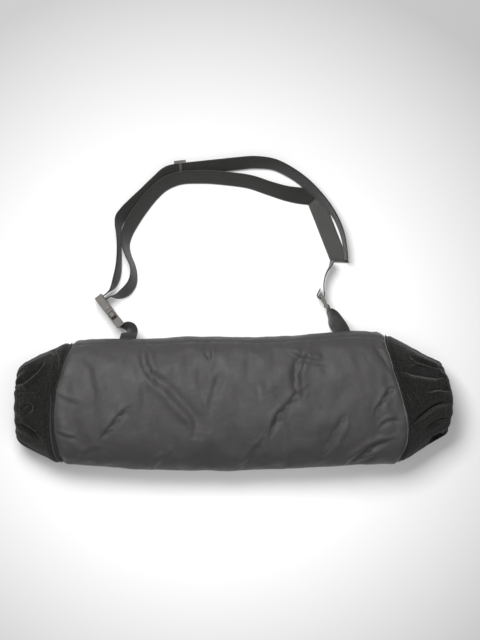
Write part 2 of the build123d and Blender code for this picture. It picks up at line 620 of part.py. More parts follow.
def parts():
    """Every sub-part by its node name."""
    return {
        "shell_body": make_shell(),
        "insulation": make_insulation(),
        "lining": make_lining(),
        "cuff_left": make_cuff(LEFT_CUFF_STATIONS, True),
        "cuff_right": make_cuff(RIGHT_CUFF_STATIONS, False),
        "elastic_left": make_elastic(LEFT_CUFF_STATIONS, True),
        "elastic_right": make_elastic(RIGHT_CUFF_STATIONS, False),
        "hem_thread_left": make_hem_thread(LEFT_CUFF_STATIONS, True),
        "hem_thread_right": make_hem_thread(RIGHT_CUFF_STATIONS, False),
        "seam_binding_left": make_seam_binding(SEAM_LEFT_STATION),
        "seam_binding_right": make_seam_binding(SEAM_RIGHT_STATION),
        "back_topstitch": make_topstitch(),
        "bartack_left": make_bartack(ANCHOR_LEFT_X),
        "bartack_right": make_bartack(ANCHOR_RIGHT_X),
        "anchor_left_sewn_end": make_sewn_end(ANCHOR_LEFT_X),
        "anchor_right_sewn_end": make_sewn_end(ANCHOR_RIGHT_X),
        "anchor_left_strap": make_anchor_left_strap(),
        "anchor_right_strap": make_anchor_right_strap(),
        "buckle_socket": make_socket(),
        "buckle_plug": make_plug(),
        "latch_arm_lower": make_latch_arm(-1),
        "latch_arm_upper": make_latch_arm(1),
        "belt_buckle_loop": make_buckle_loop(),
        "belt_outer_run": make_outer_run(),
        "belt_inner_run": make_inner_run(),
        "belt_flat_run": make_flat_run(),
        "belt_hem_stitch": make_hem_stitch(),
        "belt_tail": make_tail(),
        "tri_glide": make_tri_glide(),
        "end_ring": make_end_ring(),
    }


os.makedirs("parts", exist_ok=True)
for node, shape in parts().items():
    export_step(shape, f"parts/{node}.step")
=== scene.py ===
"""Looks of a hand warmer muff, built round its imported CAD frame.

The muff lies on a pale floor, seen from straight above, with its webbing belt laid out behind it. Every
length is in metres and every piece stands in the CAD frame: +X along the muff, +Y towards the belt, +Z up.
"""

import json
import logging
import math
from dataclasses import dataclass, field
from enum import Enum

import bpy
import numpy as np
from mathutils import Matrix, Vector

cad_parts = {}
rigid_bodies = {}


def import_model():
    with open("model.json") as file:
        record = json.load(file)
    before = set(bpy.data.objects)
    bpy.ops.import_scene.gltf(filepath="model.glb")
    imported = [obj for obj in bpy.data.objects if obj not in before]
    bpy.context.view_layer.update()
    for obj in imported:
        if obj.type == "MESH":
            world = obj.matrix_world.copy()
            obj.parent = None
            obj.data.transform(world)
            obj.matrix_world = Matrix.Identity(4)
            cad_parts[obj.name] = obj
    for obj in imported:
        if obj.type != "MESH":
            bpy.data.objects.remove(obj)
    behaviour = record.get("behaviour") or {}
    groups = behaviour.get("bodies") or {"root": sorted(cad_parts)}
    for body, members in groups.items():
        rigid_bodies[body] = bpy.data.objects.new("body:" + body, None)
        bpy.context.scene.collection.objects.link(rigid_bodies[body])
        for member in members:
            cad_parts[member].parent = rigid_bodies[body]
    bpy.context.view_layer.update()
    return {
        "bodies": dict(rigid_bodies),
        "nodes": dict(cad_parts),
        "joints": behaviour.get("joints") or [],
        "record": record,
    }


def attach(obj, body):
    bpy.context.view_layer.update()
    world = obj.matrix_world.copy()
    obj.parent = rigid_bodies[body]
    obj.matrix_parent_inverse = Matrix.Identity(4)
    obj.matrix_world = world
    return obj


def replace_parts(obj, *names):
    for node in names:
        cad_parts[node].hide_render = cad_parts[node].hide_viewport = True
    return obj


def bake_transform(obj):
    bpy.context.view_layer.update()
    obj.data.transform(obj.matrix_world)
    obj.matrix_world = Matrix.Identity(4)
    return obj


LOG = logging.getLogger("muff")
MM = 0.001
TURN = 2 * math.pi
SEED = 20


class Body(Enum):
    """CAD bodies that pieces ride on."""

    MUFF = "muff"
    BELT = "belt"
    PLUG = "plug"
    GLIDE = "glide"
    RING = "ring"


class Slot(Enum):
    """Material slots of the record."""

    NYLON = "nylon_shell"
    BATTING = "batting"
    LINING = "fleece_lining"
    FLEECE = "fleece_cuff"
    ELASTIC = "elastic"
    DARK_THREAD = "dark_thread"
    SEAM_THREAD = "seam_thread"
    WEBBING = "webbing"
    ACETAL = "acetal"


class End(Enum):
    """The muff's two ends; the value is the direction of the end along X."""

    LEFT = -1
    RIGHT = 1


# ------------------------------------------------------------------------------------------ numbers
def hermite(knots: np.ndarray, values: np.ndarray, at: np.ndarray) -> np.ndarray:
    """Pass a smooth curve through values given at rising knots.

    Between two knots the curve is a cubic whose end slopes are the slopes between the neighbouring knots.

    Args:
        knots: rising positions, shape (n,).
        values: values at the knots, shape (n,) or (n, k).
        at: positions to read the curve at, any shape.

    Returns:
        The values at the positions, shape at.shape or at.shape + (k,).
    """
    knots = np.asarray(knots, float)
    values = np.asarray(values, float)
    flat = values.ndim == 1
    if flat:
        values = values[:, None]
    slopes = np.gradient(values, knots, axis=0)
    where = np.clip(np.searchsorted(knots, at, side="right") - 1, 0, len(knots) - 2)
    span = (knots[where + 1] - knots[where])[..., None]
    share = np.clip((np.asarray(at, float)[..., None] - knots[where][..., None]) / span, 0, 1)
    square, cube = share**2, share**3
    result = (
        (2 * cube - 3 * square + 1) * values[where]
        + (cube - 2 * square + share) * span * slopes[where]
        + (3 * square - 2 * cube) * values[where + 1]
        + (cube - square) * span * slopes[where + 1]
    )
    return result[..., 0] if flat else result


def smoothstep(low: float, high: float, at: np.ndarray) -> np.ndarray:
    """Rise from 0 at low to 1 at high along 3t^2 - 2t^3."""
    share = np.clip((at - low) / (high - low), 0, 1)
    return share * share * (3 - 2 * share)


def smooth_noise(shape: tuple[int, int], cells: tuple[int, int], seed: int,
                 wrap: bool = True) -> np.ndarray:
    """Make soft random hills on a grid.

    Random values on a coarse lattice are read between lattice points with smoothstep weights; the second
    direction closes on itself when wrap is true.

    Args:
        shape: size of the grid.
        cells: lattice cells along each direction.
        seed: seed of the random values.
        wrap: whether the second direction is closed.

    Returns:
        Values from about -1 to 1, in the grid's shape.
    """
    lattice = np.random.default_rng(seed).uniform(-1, 1, (cells[0] + 1, cells[1] + 1))
    if wrap:
        lattice[:, -1] = lattice[:, 0]
    first = np.linspace(0, cells[0], shape[0])
    second = np.linspace(0, cells[1], shape[1], endpoint=not wrap)
    i = np.minimum(first.astype(int), cells[0] - 1)[:, None]
    j = np.minimum(second.astype(int), cells[1] - 1)[None, :]
    u = smoothstep(0, 1, first[:, None] - i)
    v = smoothstep(0, 1, second[None, :] - j)
    low = lattice[i, j] * (1 - v) + lattice[i, j + 1] * v
    high = lattice[i + 1, j] * (1 - v) + lattice[i + 1, j + 1] * v
    return low * (1 - u) + high * u


def unit(vectors: np.ndarray) -> np.ndarray:
    """Give vectors the length one."""
    return vectors / np.maximum(np.linalg.norm(vectors, axis=-1, keepdims=True), 1e-12)


# ------------------------------------------------------------------------------------------ meshes
@dataclass
class Grid:
    """A surface as a grid of points, closed round its second direction and, if asked, its first.

    Attributes:
        points: positions, shape (n, m, 3).
        closed: whether the first direction closes on itself too.
        capped: whether an open first direction ends in flat caps.
        along: length coordinate of each row of points, shape (n,), for the weave.
        across: length coordinate of each column, shape (m,), for the weave.
    """

    points: np.ndarray
    closed: bool = True
    capped: bool = False
    along: np.ndarray | None = None
    across: np.ndarray | None = None

    def lengths(self) -> tuple[np.ndarray, np.ndarray]:
        """Give the weave's coordinates, measured on the surface where they aren't stated."""
        n, m = self.points.shape[:2]
        along, across = self.along, self.across
        if along is None:
            steps = np.linalg.norm(np.diff(self.points, axis=0, append=self.points[:1]), axis=-1).mean(1)
            along = np.concatenate([[0], np.cumsum(steps)])
        if across is None:
            steps = np.linalg.norm(np.diff(self.points, axis=1, append=self.points[:, :1]), axis=-1).mean(0)
            across = np.concatenate([[0], np.cumsum(steps)])
        if len(along) == n:
            along = np.append(along, 2 * along[-1] - along[-2])
        if len(across) == m:
            across = np.append(across, 2 * across[-1] - across[-2])
        return along, across

    def build(self, name: str) -> bpy.types.Object:
        """Make the mesh object, with faces pointing outwards and a weave map in metres.

        Args:
            name: the piece's name.

        Returns:
            The new object, linked to the scene.
        """
        n, m = self.points.shape[:2]
        rows = n if self.closed else n - 1
        i, j = np.meshgrid(np.arange(rows), np.arange(m), indexing="ij")
        corners = [(i, j), (i + 1, j), (i + 1, j + 1), (i, j + 1)]
        faces = np.stack([(a % n) * m + b % m for a, b in corners], -1).reshape(-1, 4)
        along, across = self.lengths()
        weave = np.stack([np.stack([along[a], across[b]], -1) for a, b in corners], 2).reshape(-1, 4, 2)
        flat = self.points.reshape(-1, 3)
        a, b, c, d = (flat[faces[:, k]] for k in range(4))
        volume = (np.einsum("ij,ij->i", np.cross(a, b), c).sum()
                  + np.einsum("ij,ij->i", np.cross(a, c), d).sum())
        inside_out = volume < 0
        if inside_out:
            faces, weave = faces[:, ::-1], weave[:, ::-1]
        polygons = faces.tolist()
        maps = weave.reshape(-1, 2)
        if self.capped:
            first, last = list(range(m)), list(range((n - 1) * m, n * m))
            caps = [first, last[::-1]] if inside_out else [first[::-1], last]
            polygons += caps
            maps = np.concatenate([maps, np.zeros((2 * m, 2))])
        mesh = bpy.data.meshes.new(name)
        mesh.from_pydata(flat.tolist(), [], polygons)
        layer = mesh.uv_layers.new(name="weave")
        layer.data.foreach_set("uv", maps.astype(np.float32).ravel())
        mesh.polygons.foreach_set("use_smooth", np.ones(len(mesh.polygons), bool))
        mesh.update()
        piece = bpy.data.objects.new(name, mesh)
        bpy.context.scene.collection.objects.link(piece)
        return piece


def join_meshes(name: str, pieces: list[bpy.types.Object]) -> bpy.types.Object:
    """Join several finished pieces into one object.

    Args:
        name: the new piece's name.
        pieces: objects with plain meshes; they are used up.

    Returns:
        The joined object.
    """
    counts = [len(piece.data.vertices) for piece in pieces]
    points, polygons, maps, start = [], [], [], 0
    for piece, count in zip(pieces, counts):
        place = np.empty(count * 3, np.float32)
        piece.data.vertices.foreach_get("co", place)
        points.append(place.reshape(-1, 3))
        polygons += [[start + v for v in face.vertices] for face in piece.data.polygons]
        uv = np.empty(len(piece.data.loops) * 2, np.float32)
        piece.data.uv_layers[0].data.foreach_get("uv", uv)
        maps.append(uv)
        start += count
        bpy.data.objects.remove(piece)
    mesh = bpy.data.meshes.new(name)
    mesh.from_pydata(np.concatenate(points).tolist(), [], polygons)
    mesh.uv_layers.new(name="weave").data.foreach_set("uv", np.concatenate(maps))
    mesh.polygons.foreach_set("use_smooth", np.ones(len(mesh.polygons), bool))
    mesh.update()
    joined = bpy.data.objects.new(name, mesh)
    bpy.context.scene.collection.objects.link(joined)
    return joined


def tube_along(path: np.ndarray, radius: float, sides: int = 8, closed: bool = False) -> Grid:
    """Carry a circle along a path.

    Each section stands square to the path; its first axis is the path's direction crossed with a fixed
    slanted direction.

    Args:
        path: points of the path, shape (n, 3).
        radius: radius of the circle, or one for each point.
        sides: points round the circle.
        closed: whether the path closes on itself.

    Returns:
        The tube's surface.
    """
    if closed:
        heading = unit(np.roll(path, -1, 0) - np.roll(path, 1, 0))
    else:
        heading = unit(np.gradient(path, axis=0))
    side = unit(np.cross(heading, unit(np.array([[0.31, 0.17, 0.93]]))))
    other = np.cross(heading, side)
    angle = np.linspace(0, TURN, sides, endpoint=False)[None, :, None]
    size = np.broadcast_to(np.asarray(radius, float), len(path))[:, None, None]
    points = path[:, None] + size * (np.cos(angle) * side[:, None] + np.sin(angle) * other[:, None])
    return Grid(points, closed=closed, capped=not closed)


def scaled(colour: tuple[float, ...], share: float) -> tuple[float, ...]:
    """Lighten or darken a colour.

    Args:
        colour: linear red, green and blue.
        share: what each of them is multiplied by.

    Returns:
        The new colour.
    """
    return tuple(c * share for c in colour)


# ------------------------------------------------------------------------------------------ finishes
class Recipe:
    """A material's node tree, with short calls for the nodes that the finishes share."""

    def __init__(self, name: str, slot: Slot, colour: tuple[float, float, float], roughness: float):
        """Start a material with one Principled shader.

        Args:
            name: the material's name.
            slot: the record's slot that it finishes.
            colour: linear base colour.
            roughness: roughness where nothing varies it.
        """
        self.material = bpy.data.materials.new(name)
        self.material.use_nodes = True
        self.tree = self.material.node_tree
        self.shader = self.tree.nodes["Principled BSDF"]
        self.slot = slot
        self.colour = colour
        self.set(self.shader, {"Base Color": (*colour, 1), "Roughness": roughness})
        self.place = self.tree.nodes.new("ShaderNodeTexCoord")

    @staticmethod
    def set(node: bpy.types.Node, values: dict[str, object]) -> None:
        """Set a node's sockets by name."""
        for key, value in values.items():
            node.inputs[key].default_value = value

    def wire(self, source: bpy.types.NodeSocket, node: bpy.types.Node, key: str) -> None:
        """Join a socket to a node's named input."""
        self.tree.links.new(source, node.inputs[key])

    def noise(self, scale: float, detail: float = 2, stretch: tuple[float, float, float] = (1, 1, 1),
              weave: bool = False) -> bpy.types.NodeSocket:
        """Give a noise value from 0 to 1.

        Args:
            scale: features in a metre.
            detail: octaves.
            stretch: scale along each axis before the noise.
            weave: whether the noise follows the cloth's own map, not space.

        Returns:
            The noise's value.
        """
        mapping = self.tree.nodes.new("ShaderNodeMapping")
        mapping.inputs["Scale"].default_value = stretch
        self.wire(self.place.outputs["UV" if weave else "Object"], mapping, "Vector")
        node = self.tree.nodes.new("ShaderNodeTexNoise")
        self.set(node, {"Scale": scale, "Detail": detail})
        self.wire(mapping.outputs["Vector"], node, "Vector")
        return node.outputs["Fac"]

    def coordinate(self, axis: str) -> bpy.types.NodeSocket:
        """Give one coordinate of the cloth's map, in metres; axis is X or Y."""
        split = self.tree.nodes.new("ShaderNodeSeparateXYZ")
        self.wire(self.place.outputs["UV"], split, "Vector")
        return split.outputs[axis]

    def math(self, operation: str, *terms: object) -> bpy.types.NodeSocket:
        """Combine sockets and numbers with one arithmetic step."""
        node = self.tree.nodes.new("ShaderNodeMath")
        node.operation = operation
        for index, term in enumerate(terms):
            if isinstance(term, (int, float)):
                node.inputs[index].default_value = term
            else:
                self.tree.links.new(term, node.inputs[index])
        return node.outputs[0]

    def wave(self, axis: str, pitch: float) -> bpy.types.NodeSocket:
        """Give the sine, from -1 to 1, of one map coordinate; pitch is the distance between crests."""
        return self.math("SINE", self.math("MULTIPLY", self.coordinate(axis), TURN / pitch))

    def ramp(self, value: bpy.types.NodeSocket, low: float, high: float,
             to_low: float = 0, to_high: float = 1) -> bpy.types.NodeSocket:
        """Map a value from one range to another and hold it inside."""
        node = self.tree.nodes.new("ShaderNodeMapRange")
        self.set(node, {"From Min": low, "From Max": high, "To Min": to_low, "To Max": to_high})
        self.wire(value, node, "Value")
        return node.outputs["Result"]

    def blend(self, factor: bpy.types.NodeSocket, first: object, second: object) -> bpy.types.NodeSocket:
        """Mix two colours; each is a tuple or a colour socket."""
        node = self.tree.nodes.new("ShaderNodeMix")
        node.data_type = "RGBA"
        sockets = [s for s in node.inputs if s.type == "RGBA"]
        self.tree.links.new(factor, [s for s in node.inputs if s.type == "VALUE" and s.enabled][0])
        for socket, value in zip(sockets, (first, second)):
            if isinstance(value, tuple):
                socket.default_value = (*value, 1)
            else:
                self.tree.links.new(value, socket)
        return [s for s in node.outputs if s.type == "RGBA"][0]

    def tone(self, factor: bpy.types.NodeSocket, dark: float, light: float) -> bpy.types.NodeSocket:
        """Mix between darker and lighter shares of the base colour."""
        return self.blend(factor, scaled(self.colour, dark), scaled(self.colour, light))

    def paint(self, colour: bpy.types.NodeSocket) -> None:
        """Use a colour as the base colour."""
        self.wire(colour, self.shader, "Base Color")

    def bump(self, height: bpy.types.NodeSocket, strength: float, distance: float) -> None:
        """Add a bump over those already there.

        Args:
            height: surface height from 0 to 1.
            strength: how much of the bump shows.
            distance: height in metres of a full step.
        """
        node = self.tree.nodes.new("ShaderNodeBump")
        self.set(node, {"Strength": strength, "Distance": distance})
        self.wire(height, node, "Height")
        normal = self.shader.inputs["Normal"]
        if normal.links:
            self.wire(normal.links[0].from_socket, node, "Normal")
        self.tree.links.new(node.outputs["Normal"], normal)

    def dress(self, piece: bpy.types.Object) -> bpy.types.Object:
        """Give a piece this finish."""
        piece.data.materials.clear()
        piece.data.materials.append(self.material)
        return piece


@dataclass(frozen=True)
class NylonFinish:
    """Plain woven nylon: fine square weave, slubs, faint creases and a soft low sheen."""

    name: str = "woven_nylon"
    slot: Slot = Slot.NYLON
    colour: tuple[float, float, float] = (0.0400, 0.0378, 0.0392)
    thread_pitch: float = 0.0009
    weave_depth: float = 0.00012

    def recipe(self) -> Recipe:
        """Make the material."""
        make = Recipe(self.name, self.slot, self.colour, 0.6)
        weave = make.math("MULTIPLY", make.wave("X", self.thread_pitch), make.wave("Y", self.thread_pitch))
        slubs = make.noise(900, 2, (1, 0.12, 1), weave=True)
        grain = make.noise(1500, 1, weave=True)
        cloud = make.noise(14, 3)
        mottled = make.tone(make.ramp(cloud, 0.3, 0.7), 0.93, 1.06)
        speckled = make.blend(make.ramp(grain, 0.35, 0.75, 0, 0.3), mottled, scaled(self.colour, 1.35))
        threads = make.blend(make.ramp(slubs, 0.5, 0.8, 0, 0.3), speckled, scaled(self.colour, 0.7))
        make.paint(make.blend(make.ramp(weave, -1, 1, 0, 0.18), threads, scaled(self.colour, 1.3)))
        make.wire(make.ramp(make.noise(60, 2), 0.3, 0.7, 0.52, 0.66), make.shader, "Roughness")
        make.bump(make.ramp(weave, -1, 1), 0.5, self.weave_depth)
        make.bump(make.noise(160, 3, (1, 1, 1)), 0.35, 0.0009)
        make.bump(make.noise(45, 2, (0.6, 1.4, 1)), 0.35, 0.0022)
        make.set(make.shader, {"Sheen Weight": 0.12, "Sheen Roughness": 0.4, "Specular IOR Level": 0.35})
        return make


@dataclass(frozen=True)
class FleeceFinish:
    """Brushed fleece: clumped pile with painted shade in its hollows and painted light on the clumps' tops,
    lighter tips and a dusty sheen.
    """

    name: str
    slot: Slot
    colour: tuple[float, float, float]
    clump_scale: float = 400
    pile_height: float = 0.0013
    sheen: float = 0.14

    def recipe(self) -> Recipe:
        """Make the material."""
        make = Recipe(self.name, self.slot, self.colour, 0.95)
        clumps = make.noise(self.clump_scale, 4)
        fibres = make.noise(self.clump_scale * 2.6, 2)
        cloud = make.noise(38, 2)
        # Painted shade and light: the colour follows the clump bump, dark in its hollows and light on its
        # tops.
        pile = make.tone(make.ramp(clumps, 0.36, 0.66), 0.30, 2.0)
        tipped = make.blend(make.ramp(fibres, 0.55, 0.8, 0, 0.45), pile, scaled(self.colour, 3.2))
        worn = make.ramp(cloud, 0.35, 0.75, 0, 0.3)
        make.paint(make.blend(worn, tipped, scaled(self.colour, 1.5)))
        make.bump(clumps, 0.9, self.pile_height)
        make.bump(fibres, 0.6, self.pile_height * 0.3)
        make.set(make.shader, {"Sheen Weight": self.sheen, "Sheen Roughness": 0.6, "Specular IOR Level": 0.1})
        return make


@dataclass(frozen=True)
class WebbingFinish:
    """Woven webbing: ribs across its width, fine warp threads along it and a painted highlight along both
    edges.
    """

    name: str = "belt_webbing"
    slot: Slot = Slot.WEBBING
    colour: tuple[float, float, float] = (0.0058, 0.0058, 0.0047)
    rib_pitch: float = 0.0013
    warp_pitch: float = 0.0011
    highlight_start: float = 0.0089
    highlight_end: float = 0.0094

    def recipe(self) -> Recipe:
        """Make the material; the map runs along the webbing in X and across it in Y."""
        make = Recipe(self.name, self.slot, self.colour, 0.62)
        ribs = make.wave("X", self.rib_pitch)
        warp = make.wave("Y", self.warp_pitch)
        offset = make.math("MULTIPLY", make.math("SIGN", warp), 0.25 * TURN)
        phase = make.math("MULTIPLY", make.coordinate("X"), TURN / self.rib_pitch)
        staggered = make.math("SINE", make.math("ADD", phase, offset))
        weave = make.math("MULTIPLY", staggered, make.math("ABSOLUTE", warp))
        fuzz = make.noise(1600, 2, (1, 1, 1), weave=True)
        cloud = make.noise(24, 2)
        # Painted highlight: both edges of the webbing are lightened where they would catch the light.
        edge = make.ramp(make.math("ABSOLUTE", make.coordinate("Y")), self.highlight_start, self.highlight_end, 0, 0.55)
        base = make.tone(make.ramp(cloud, 0.3, 0.7), 0.85, 1.2)
        ribbed = make.blend(make.ramp(weave, -1, 1, 0, 0.5), base, scaled(self.colour, 1.7))
        fuzzy = make.blend(make.ramp(fuzz, 0.5, 0.8, 0, 0.5), ribbed, scaled(self.colour, 2.1))
        make.paint(make.blend(edge, fuzzy, scaled(self.colour, 2.0)))
        make.bump(make.ramp(ribs, -1, 1), 0.25, 0.0002)
        make.bump(make.ramp(weave, -1, 1), 0.8, 0.00035)
        make.bump(fuzz, 0.3, 0.0003)
        make.set(make.shader, {"Sheen Weight": 0.25, "Sheen Roughness": 0.45, "Specular IOR Level": 0.4})
        return make


@dataclass(frozen=True)
class MouldedFinish:
    """Moulded black acetal: fine spark-eroded texture, scuffed lighter patches, satin gloss."""

    name: str = "moulded_acetal"
    slot: Slot = Slot.ACETAL
    colour: tuple[float, float, float] = (0.085, 0.078, 0.070)

    def recipe(self) -> Recipe:
        """Make the material."""
        make = Recipe(self.name, self.slot, self.colour, 0.42)
        scuffs = make.noise(220, 4, (1, 1, 0.35))
        flow = make.noise(40, 2)
        base = make.tone(make.ramp(flow, 0.3, 0.7), 0.85, 1.25)
        make.paint(make.blend(make.ramp(scuffs, 0.56, 0.74, 0, 0.6), base, scaled(self.colour, 2.6)))
        make.wire(make.ramp(scuffs, 0.3, 0.75, 0.34, 0.62), make.shader, "Roughness")
        make.bump(make.noise(2600, 2), 0.25, 0.0001)
        make.bump(make.noise(300, 2), 0.15, 0.0003)
        make.set(make.shader, {"Specular IOR Level": 0.5})
        return make


@dataclass(frozen=True)
class ThreadFinish:
    """Twisted sewing thread."""

    name: str
    slot: Slot
    colour: tuple[float, float, float]
    twist_pitch: float = 0.0007

    def recipe(self) -> Recipe:
        """Make the material."""
        make = Recipe(self.name, self.slot, self.colour, 0.55)
        lay = make.math("ADD", make.coordinate("X"), make.coordinate("Y"))
        twist = make.math("SINE", make.math("MULTIPLY", lay, TURN / self.twist_pitch))
        make.paint(make.tone(make.ramp(twist, -1, 1), 0.65, 1.3))
        make.bump(make.ramp(twist, -1, 1), 0.6, 0.00012)
        make.set(make.shader, {"Sheen Weight": 0.2})
        return make


@dataclass(frozen=True)
class BattingFinish:
    """Off-white bonded batting or braided elastic, seen only when the muff is taken apart."""

    name: str
    slot: Slot
    colour: tuple[float, float, float]

    def recipe(self) -> Recipe:
        """Make the material."""
        make = Recipe(self.name, self.slot, self.colour, 0.9)
        fluff = make.noise(240, 4)
        make.paint(make.tone(make.ramp(fluff, 0.3, 0.7), 0.8, 1.1))
        make.bump(fluff, 0.7, 0.001)
        return make


# ------------------------------------------------------------------------------------------ cloth
def grid_normals(points: np.ndarray) -> np.ndarray:
    """Give unit normals of a tube-shaped grid, pointing away from the middle of each row.

    Each normal is the cross product of the differences along the two directions, turned outwards.
    """
    down = np.gradient(points, axis=0)
    round_ = np.roll(points, -1, 1) - np.roll(points, 1, 1)
    normals = unit(np.cross(down, round_))
    outwards = points - points.mean(1, keepdims=True)
    facing = np.sign(np.einsum("ijk,ijk->ij", normals, outwards).mean())
    return normals * facing


def refined(points: np.ndarray, rows: int, columns: int) -> np.ndarray:
    """Read a tube-shaped grid at more rows and columns, along smooth curves.

    Args:
        points: grid closed round its second direction, shape (n, m, 3).
        rows: new number of rows.
        columns: new number of columns.

    Returns:
        The finer grid, shape (rows, columns, 3).
    """
    n, m = points.shape[:2]
    tall = hermite(np.arange(n), points.reshape(n, -1), np.linspace(0, n - 1, rows)).reshape(rows, m, 3)
    ring = np.concatenate([tall[:, -2:], tall, tall[:, :3]], 1).transpose(1, 0, 2).reshape(m + 5, -1)
    at = np.linspace(0, m, columns, endpoint=False)
    fine = hermite(np.arange(-2, m + 3), ring, at)
    return fine.reshape(columns, rows, 3).transpose(1, 0, 2)


@dataclass(frozen=True)
class Crease:
    """A fold line on the upper side: a soft valley with a ridge along one side of it.

    Attributes:
        route: points of the plan, in millimetres.
        depth: depth of the valley in millimetres.
        width: half width of the valley in millimetres.
        ridge: height of the ridge on the left of the route, in millimetres; below zero on its right.
    """

    route: tuple[tuple[float, float], ...]
    depth: float
    width: float
    ridge: float = 0.0

    def height(self, plan: np.ndarray) -> np.ndarray:
        """Give the surface offset in metres at points of the plan.

        The route is smoothed, the signed distance d to it is measured, and the offset is
        -depth e^(-d^2 / w^2) plus ridge e^(-(d - 1.6 w)^2 / w^2); both fade in over the route's ends.
        """
        knots = np.array(self.route, float) * MM
        count = len(knots)
        line = hermite(np.arange(count), knots, np.linspace(0, count - 1, 8 * (count - 1) + 1))
        nearest = np.full(plan.shape[:-1], np.inf)
        signed = np.zeros(plan.shape[:-1])
        share = np.zeros(plan.shape[:-1])
        for index, (start, end) in enumerate(zip(line, line[1:])):
            step = end - start
            along = np.clip(((plan - start) @ step) / (step @ step), 0, 1)
            offset = plan - (start + along[..., None] * step)
            distance = np.linalg.norm(offset, axis=-1)
            closer = distance < nearest
            side = np.sign(step[0] * offset[..., 1] - step[1] * offset[..., 0])
            nearest = np.where(closer, distance, nearest)
            signed = np.where(closer, distance * side, signed)
            share = np.where(closer, (index + along) / (len(line) - 1), share)
        fade = smoothstep(0, 0.25, share) * smoothstep(0, 0.25, 1 - share)
        width = self.width * MM * (0.45 + 0.55 * fade)
        valley = np.exp(-((nearest / width) ** 2)) * self.depth
        lean = 1.6 if self.ridge >= 0 else -1.6
        ridge = np.exp(-(((signed - lean * width) / width) ** 2)) * abs(self.ridge)
        return (ridge - valley) * (0.25 + 0.75 * fade) * MM


def creased(points: np.ndarray, creases: list[Crease]) -> np.ndarray:
    """Press fold lines into the upper side of a grid, along its normals."""
    normals = grid_normals(points)
    upper = smoothstep(0.0, 0.35, normals[..., 2])
    total = sum(crease.height(points[..., :2]) for crease in creases)
    return points + normals * (total * upper)[..., None]


@dataclass(frozen=True)
class ClothSettling:
    """Cloth simulation that lets padded cloth swell and ripple over its form.

    Attributes:
        frames: simulated frames.
        pressure: air pressure inside the cloth.
        spare: share by which the cloth is cut larger than its form.
        hold: how firmly the padding holds the cloth, from 0 to 1.
        swell: farthest that a point moves outwards, in metres.
        sink: farthest that a point moves inwards, in metres.
    """

    frames: int = 20
    pressure: float = 4.0
    spare: float = 0.020
    hold: float = 0.10
    swell: float = 0.0045
    sink: float = 0.0030

    def run(self, name: str, points: np.ndarray, firm: np.ndarray) -> np.ndarray:
        """Simulate one tube of cloth.

        Args:
            name: name for the temporary piece.
            points: the form, shape (n, m, 3).
            firm: how firmly sewing holds each point, from 0 to 1, shape (n, m).

        Returns:
            The settled points; the temporary piece is removed.
        """
        piece = Grid(points, closed=False).build(name)
        group = piece.vertex_groups.new(name="held")
        levels = np.round(np.clip(self.hold + (1 - self.hold) * firm, 0, 1), 2).ravel()
        for level in np.unique(levels):
            group.add(np.flatnonzero(levels == level).tolist(), float(level), "REPLACE")
        cloth = piece.modifiers.new("cloth", "CLOTH")
        settings = cloth.settings
        settings.quality = 6
        settings.mass = 0.25
        settings.tension_stiffness = 18
        settings.compression_stiffness = 18
        settings.shear_stiffness = 8
        settings.bending_stiffness = 0.35
        settings.vertex_group_mass = group.name
        settings.pin_stiffness = 1.0
        settings.use_pressure = True
        settings.uniform_pressure_force = self.pressure
        settings.shrink_min = -self.spare
        settings.effector_weights.gravity = 0
        cloth.collision_settings.use_collision = False
        cloth.collision_settings.use_self_collision = False
        cloth.point_cache.frame_start = 1
        cloth.point_cache.frame_end = self.frames
        scene = bpy.context.scene
        for frame in range(1, self.frames + 1):
            scene.frame_set(frame)
        settled = piece.evaluated_get(bpy.context.evaluated_depsgraph_get())
        place = np.empty(points.size, np.float32)
        settled.data.vertices.foreach_get("co", place)
        scene.frame_set(1)
        bpy.data.objects.remove(piece)
        move = place.reshape(points.shape).astype(float) - points
        normals = grid_normals(points)
        height = np.einsum("ijk,ijk->ij", move, normals)
        slide = move - height[..., None] * normals
        size = np.linalg.norm(slide, axis=-1, keepdims=True)
        slide *= np.minimum(1, 0.0015 / np.maximum(size, 1e-9))
        middle = np.median(height)
        LOG.info("cloth %s: height %.1f to %.1f mm, middle %.1f mm", name, height.min() / MM,
                 height.max() / MM, middle / MM)
        rise = np.clip(height, -self.sink, self.swell)
        for _ in range(3):
            rise = (2 * rise + np.roll(rise, 1, 1) + np.roll(rise, -1, 1)) / 4
            rise[1:-1] = (2 * rise[1:-1] + rise[:-2] + rise[2:]) / 4
        return points + normals * rise[..., None] + slide


